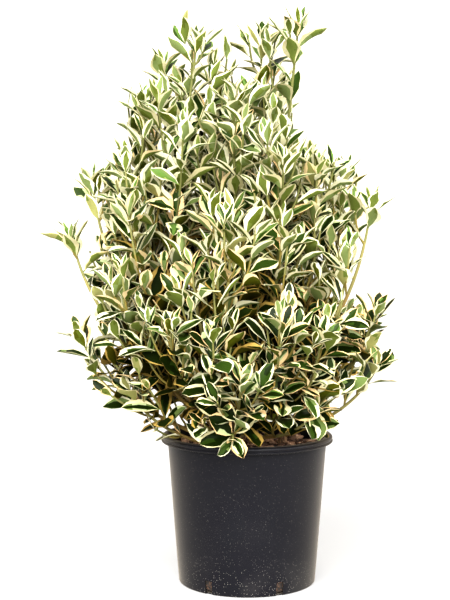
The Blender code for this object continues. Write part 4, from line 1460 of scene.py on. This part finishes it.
class SoilSettings(bpy.types.PropertyGroup):
    relief: a_size("Relief", "How far the soil's surface stands up and down", 0.0030)
    chips: a_count("Chips", "How many bark chips lie on the soil", 330)
    chip_length: a_size("Chip Length", "Length of a usual bark chip", 0.013)
    seed: a_count("Seed", "Seed of the chips' places", 7)
    peat: a_color("Peat", "Colour of moist peat", (0.008, 0.0052, 0.0036))
    crumbs: a_color("Crumbs", "Colour of the drier crumbs", (0.034, 0.020, 0.012))
    fibres: a_color("Fibres", "Colour of fibres and fine roots", (0.24, 0.105, 0.052))
    chip_tan: a_color("Tan Chips", "Colour of the paler chips", (0.62, 0.38, 0.24))
    chip_brown: a_color("Brown Chips", "Colour of the darker chips", (0.12, 0.062, 0.036))


class BarkSettings(bpy.types.PropertyGroup):
    relief: a_size("Relief", "How far the bark stands up and down", 0.00045)
    step: a_size("Ring Step", "Distance between two rings of the mesh", 0.0016)
    sides: a_count("Sides", "Facets round a stem", 16)
    bough_sides: a_count("Bough Sides", "Facets round a bough", 12)
    ridge: a_color("Ridges", "Colour of the bark's ridges", (0.30, 0.185, 0.090))
    furrow: a_color("Furrows", "Colour of the bark's furrows", (0.085, 0.045, 0.022))
    film: a_color("Film", "Greenish grey film on the bark", (0.27, 0.24, 0.13))
    young_ridge: a_color("Young Ridges", "Colour of a bough's ridges", (0.40, 0.31, 0.15))
    young_furrow: a_color("Young Furrows", "Colour of a bough's furrows", (0.16, 0.11, 0.045))


class TwigSettings(bpy.types.PropertyGroup):
    seed: a_count("Seed", "Seed of the whole crown", 41)
    share: a_number("Side Twigs", "Share of a shoot's leaves with a twig above them", 0.85)
    limb_share: a_number("Limb Twigs", "Share of a bare limb's nodes with a twig", 0.85)
    reach: a_size("Reach", "Furthest that a twig's tip may be from a main shoot", 0.075)
    sides: a_count("Sides", "Facets round a twig", 6)


class LeafSettings(bpy.types.PropertyGroup):
    length: a_size("Length", "Length of a full-grown leaf", 0.064)
    width: a_number("Width", "Width of a leaf as a share of its length", 0.49)
    thickness: a_number("Thickness", "Thickness as a share of the length", 0.012)
    spacing: a_size("Spacing", "Distance between leaf pairs on a shoot", 0.032)
    side_spacing: a_size("Side Spacing", "Distance between leaf pairs on a side twig", 0.024)
    fold: an_angle("Fold", "Angle that each half of a leaf lifts", 0.30)
    curl: an_angle("Curl", "Angle that a leaf bends down", 0.42)
    green_share: a_number("Green Share", "Share of the width inside the margin", 0.775)
    paler_waist: a_number("Paler Waist", "How much wider the margin is halfway up", 0.13)
    pale_share: a_number("Pale Leaves", "Share of leaves that are nearly all cream", 0.05)


for settings, tones in ((TwigSettings, SKINS), (LeafSettings, TONES)):
    for key, tone in tones.items():
        settings.__annotations__[key] = a_color(key.replace("_", " ").title(), tone.use, tone.color)


class StageSettings(bpy.types.PropertyGroup):
    floor_radius: a_size("Floor Radius", "Radius of the round floor", 40.0)
    floor: a_color("Floor", "Colour of the floor", (0.20, 0.20, 0.20))
    floor_glow: a_number("Floor Glow", "Light that comes through the floor", 0.36)
    sky: a_number("Sky", "Strength of the even white light all round", 0.23)
    backdrop: a_number("Backdrop", "Brightness of the backdrop behind the plant", 1.3)
    key: a_number("Key", "Strength of the large soft light", 9.8)
    fill: a_number("Fill", "Strength of the light on the other side", 5.8)
    left: a_number("Left", "Strength of the low light on the left", 0.9)
    side: a_number("Side", "Strength of the warm lights behind both sides", 1.7)
    warm: a_color("Warm", "Colour of the lights behind both sides", (1.0, 0.84, 0.62))
    back: a_number("Back", "Strength of the light behind", 1.6)
    camera_distance: a_size("Camera Distance", "How far the camera stands in front", 2.30)
    camera_height: a_size("Camera Height", "Height of the camera over the floor", 0.634)
    camera_tilt: an_angle("Camera Tilt", "How far the camera looks down", math.radians(3.51))
    camera_turn: an_angle("Camera Turn", "How far the camera turns to its left", math.radians(0.962))
    lens: a_number("Lens", "Focal length on a 36 mm wide sensor", 79.35)


# Operators

class SPINDLE_OT_pot(bpy.types.Operator):
    """Turn the nursery pot and cut its drain slots"""

    bl_idname = "spindle.pot"
    bl_label = "Nursery Pot"

    def execute(self, context):
        pot = context.scene.spindle_pot
        mesh = mesh_of(spun(pot_profile(pot), pot.steps), "nursery_pot", [plastic_material(pot)])
        piece = new_piece("nursery_pot", mesh, ["pot"])
        cutters = []
        for number in range(pot.slots):
            cutters.append(shown("slot", slot_cutter(pot, number)))
            cut = piece.modifiers.new("slot", "BOOLEAN")
            cut.operation = "DIFFERENCE"
            cut.object = cutters[-1]
        smooth(applied(piece), 32)
        for cutter in cutters:
            bpy.data.objects.remove(cutter)
        return {"FINISHED"}


class SPINDLE_OT_soil(bpy.types.Operator):
    """Fill the pot with soil and strew bark chips on it"""

    bl_idname = "spindle.soil"
    bl_label = "Soil and Bark Chips"

    def execute(self, context):
        soil = context.scene.spindle_soil
        pot = context.scene.spindle_pot
        bm = spun(soil_profile(pot), SOIL_STEPS)
        edge = SOIL_HIGH.z - SOIL_EDGE_DROP
        for corner in bm.verts:
            radius = math.hypot(corner.co.x, corner.co.y)
            if corner.co.z > edge - MERGE:
                fade = min(1.0, (wall_radius(pot, edge) - radius) / SOIL_FADE)
                rise = noise.fractal(corner.co * SOIL_GRAIN, *NOISE_STEPS, SOIL_OCTAVES) - SOIL_SINK
                corner.co.z += soil.relief * fade * rise
        mesh = mesh_of(bm, "soil_body", [soil_material(soil)])
        smooth(mesh, 50)
        new_piece("soil_body", mesh, ["soil"])
        finishes = [chip_material("tan_chip", soil.chip_tan), chip_material("brown_chip", soil.chip_brown)]
        new_piece("bark_chips", mesh_of(chips_bmesh(soil), "bark_chips", finishes))
        return {"FINISHED"}


class SPINDLE_OT_stems(bpy.types.Operator):
    """Model the six stems with their bark in relief"""

    bl_idname = "spindle.stems"
    bl_label = "Stems"

    def execute(self, context):
        bark = context.scene.spindle_bark
        finish = bark_material("stem_bark", bark.ridge, bark.furrow, bark.film, STEM_BARK)
        for name, stem in STEMS.items():
            path = stem_path(stem)
            points = path.cut(0, path.length, bark.step)
            marks = even(len(points), 0, path.length)
            radii = [
                stem.foot_radius
                + (STEM_TOP_RADIUS - stem.foot_radius) * mark / path.length
                + STEM_FLARE * math.exp(-mark / STEM_FLARE_HEIGHT)
                for mark in marks
            ]
            radii = ringed(radii, marks, STEM_BARK, random.Random(name))
            points.insert(0, points[0] - UP * STEM_SUNK)
            radii.insert(0, radii[0])
            bark_piece("stem_" + name, points, radii, bark.sides, bark.relief, STEM_BARK, finish)
        return {"FINISHED"}


class SPINDLE_OT_boughs(bpy.types.Operator):
    """Model the bare boughs that leave the stems"""

    bl_idname = "spindle.boughs"
    bl_label = "Boughs"

    def execute(self, context):
        bark = context.scene.spindle_bark
        finish = bark_material("bough_bark", bark.young_ridge, bark.young_furrow, bark.film, BOUGH_BARK)
        for name, shoot in SHOOTS.items():
            if not shoot.bough:
                continue
            course = shoot_course(shoot, stem_path(STEMS[shoot.stem]))
            length = course.length * BARE_SHARE
            points = course.cut(0, length + BOUGH_OVERRUN, bark.step)
            radii = even(len(points), BOUGH_RADIUS, BOUGH_RADIUS * BOUGH_TAPER)
            radii = ringed(radii, even(len(points), 0, length), BOUGH_BARK, random.Random(name))
            node, sides = "bough_" + name, bark.bough_sides
            bark_piece(node, points, radii, sides, bark.relief, BOUGH_BARK, finish)
        return {"FINISHED"}


class SPINDLE_OT_twigs(bpy.types.Operator):
    """Grow the leafy shoots' twigs, one piece for each part of the crown"""

    bl_idname = "spindle.twigs"
    bl_label = "Twigs"

    def execute(self, context):
        twig = context.scene.spindle_twig
        finishes = [twig_material(name + "_twig", getattr(twig, name), skin) for name, skin in SKINS.items()]
        sides = {}
        for spray in grown_sprays(context.scene).values():
            for grown in spray.twigs:
                sides.setdefault(spray.side, []).extend(self.stretches(grown))
        for side, limbs in sides.items():
            mesh = mesh_of(limbs_bmesh(side, limbs, twig.sides, finishes), "twigs_" + side, finishes)
            smooth(mesh, 70)
            new_piece("twigs_" + side, mesh)
        return {"FINISHED"}

    def stretches(self, grown):
        """A twig in two or three stretches: a shoot is woody at its foot, a side twig's foot takes the shaded
        skin, which is partly painted shade, and high twigs are olive.
        """
        path = grown.path
        young, green, shaded = "young", "green", "shaded"
        if path.points[-1].z > OLIVE_ABOVE:
            young = green = shaded = "olive"
        changes, skins = SHOOT_SKINS_AT, ("woody", green, young)
        if grown.age < 1:
            changes, skins = SIDE_SKINS_AT, (shaded, young)
        parts = []
        for first, last, skin in zip(changes, changes[1:], skins):
            first, last = path.length * first, path.length * last
            points = path.cut(first, last, COURSE_STEP)
            shares = [(mark / path.length) ** TWIG_TAPER for mark in even(len(points), first, last)]
            radii = [grown.foot_radius + (grown.tip_radius - grown.foot_radius) * share for share in shares]
            parts.append((points, radii, list(SKINS).index(skin)))
        return parts


class SPINDLE_OT_leaves(bpy.types.Operator):
    """Set every leaf on its twig, one piece for each part of the crown"""

    bl_idname = "spindle.leaves"
    bl_label = "Leaves"

    def execute(self, context):
        leaf = context.scene.spindle_leaf
        seed = context.scene.spindle_twig.seed
        finishes = [leaf_material("leaf_" + name, getattr(leaf, name), tone) for name, tone in TONES.items()]
        template = leaf_template()
        sides = {}
        stood_for = {}
        for name, spray in grown_sprays(context.scene).items():
            sides.setdefault(spray.side, []).extend(spray.leaves)
            if name in SHOOTS:
                stood_for.setdefault(spray.side, []).append("leaves_" + name)
        for number, (side, leaves) in enumerate(sides.items()):
            mesh = leaves_mesh("foliage_" + side, leaves, template, leaf, seed + number)
            for finish in finishes:
                mesh.materials.append(finish)
            new_piece("foliage_" + side, mesh, stood_for.get(side, ()))
        return {"FINISHED"}


class SPINDLE_OT_stage(bpy.types.Operator):
    """Lay a pale floor, hang soft lights and place the camera"""

    bl_idname = "spindle.stage"
    bl_label = "Stage"

    def execute(self, context):
        stage = context.scene.spindle_stage
        self.lay_floor(stage)
        self.light(context, stage)
        self.place_camera(context, stage)
        context.scene.view_settings.view_transform = "Standard"
        context.scene.view_settings.look = "Medium High Contrast"
        return {"FINISHED"}

    def lay_floor(self, stage):
        finish, tree = new_material("pale_floor", stage.floor, 0.9, Emission_Color=(1, 1, 1, 1))
        clouds = tree.group("patches", Place=tree.object_place(), Scale=3.0, Detail=2.0, From=0.3, To=0.7)
        darker = [channel * FLOOR_MOTTLE for channel in stage.floor]
        tone = tree.mix(clouds.outputs["Mask"], stage.floor, darker)
        tree.shade(Emission_Strength=stage.floor_glow, Base_Color=tone)
        bm = bmesh.new()
        bmesh.ops.create_circle(bm, cap_ends=True, segments=64, radius=stage.floor_radius)
        floor = shown("floor", mesh_of(bm, "floor", [finish]))

    def light(self, context, stage):
        world = bpy.data.worlds.new("studio")
        world.use_nodes = True
        tree = Tree(world.node_tree)
        ray = tree.add("ShaderNodeLightPath")
        backdrop = tree.math("MULTIPLY", ray.outputs["Is Camera Ray"], stage.backdrop - stage.sky)
        strength = tree.math("ADD", backdrop, stage.sky)
        tree.fill(world.node_tree.nodes["Background"], {"Color": BACKDROP_COLOR, "Strength": strength})
        context.scene.world = world
        for name, (setting, place, width) in LAMPS.items():
            lamp = bpy.data.lights.new(name, "SUN")
            lamp.energy = getattr(stage, setting)
            lamp.angle = math.radians(width)
            if setting == "side":
                lamp.color = stage.warm
            holder = shown(name, lamp)
            holder.location = place
            holder.rotation_euler = (-Vector(place)).to_track_quat("-Z", "Y").to_euler()

    def place_camera(self, context, stage):
        lens = bpy.data.cameras.new("camera")
        lens.sensor_width = 36
        lens.lens = stage.lens
        camera = shown("camera", lens)
        camera.location = (0, -stage.camera_distance, stage.camera_height)
        camera.rotation_euler = (math.pi / 2 - stage.camera_tilt, 0, stage.camera_turn)
        context.scene.camera = camera


OPERATORS = (
    SPINDLE_OT_stage,
    SPINDLE_OT_pot,
    SPINDLE_OT_soil,
    SPINDLE_OT_stems,
    SPINDLE_OT_boughs,
    SPINDLE_OT_twigs,
    SPINDLE_OT_leaves,
)
SETTINGS = {
    "spindle_pot": PotSettings,
    "spindle_soil": SoilSettings,
    "spindle_bark": BarkSettings,
    "spindle_twig": TwigSettings,
    "spindle_leaf": LeafSettings,
    "spindle_stage": StageSettings,
}


class SPINDLE_PT_panel(bpy.types.Panel):
    """The steps that build the potted shrub"""

    bl_idname = "SPINDLE_PT_panel"
    bl_label = "Potted Spindle Shrub"
    bl_space_type = "VIEW_3D"
    bl_region_type = "UI"
    bl_category = "Spindle"

    def draw(self, context):
        for operator in OPERATORS:
            self.layout.operator(operator.bl_idname)


def register():
    for settings in SETTINGS.values():
        bpy.utils.register_class(settings)
    for name, settings in SETTINGS.items():
        setattr(bpy.types.Scene, name, PointerProperty(type=settings))
    for operator in OPERATORS:
        bpy.utils.register_class(operator)
    bpy.utils.register_class(SPINDLE_PT_panel)


def unregister():
    bpy.utils.unregister_class(SPINDLE_PT_panel)
    for operator in reversed(OPERATORS):
        bpy.utils.unregister_class(operator)
    for name in SETTINGS:
        delattr(bpy.types.Scene, name)
    for settings in reversed(SETTINGS.values()):
        bpy.utils.unregister_class(settings)


def main():
    register()
    bpy.ops.spindle.stage()
    bpy.ops.spindle.pot()
    bpy.ops.spindle.soil()
    bpy.ops.spindle.stems()
    bpy.ops.spindle.boughs()
    bpy.ops.spindle.twigs()
    bpy.ops.spindle.leaves()


if __name__ == "__main__":
    main()
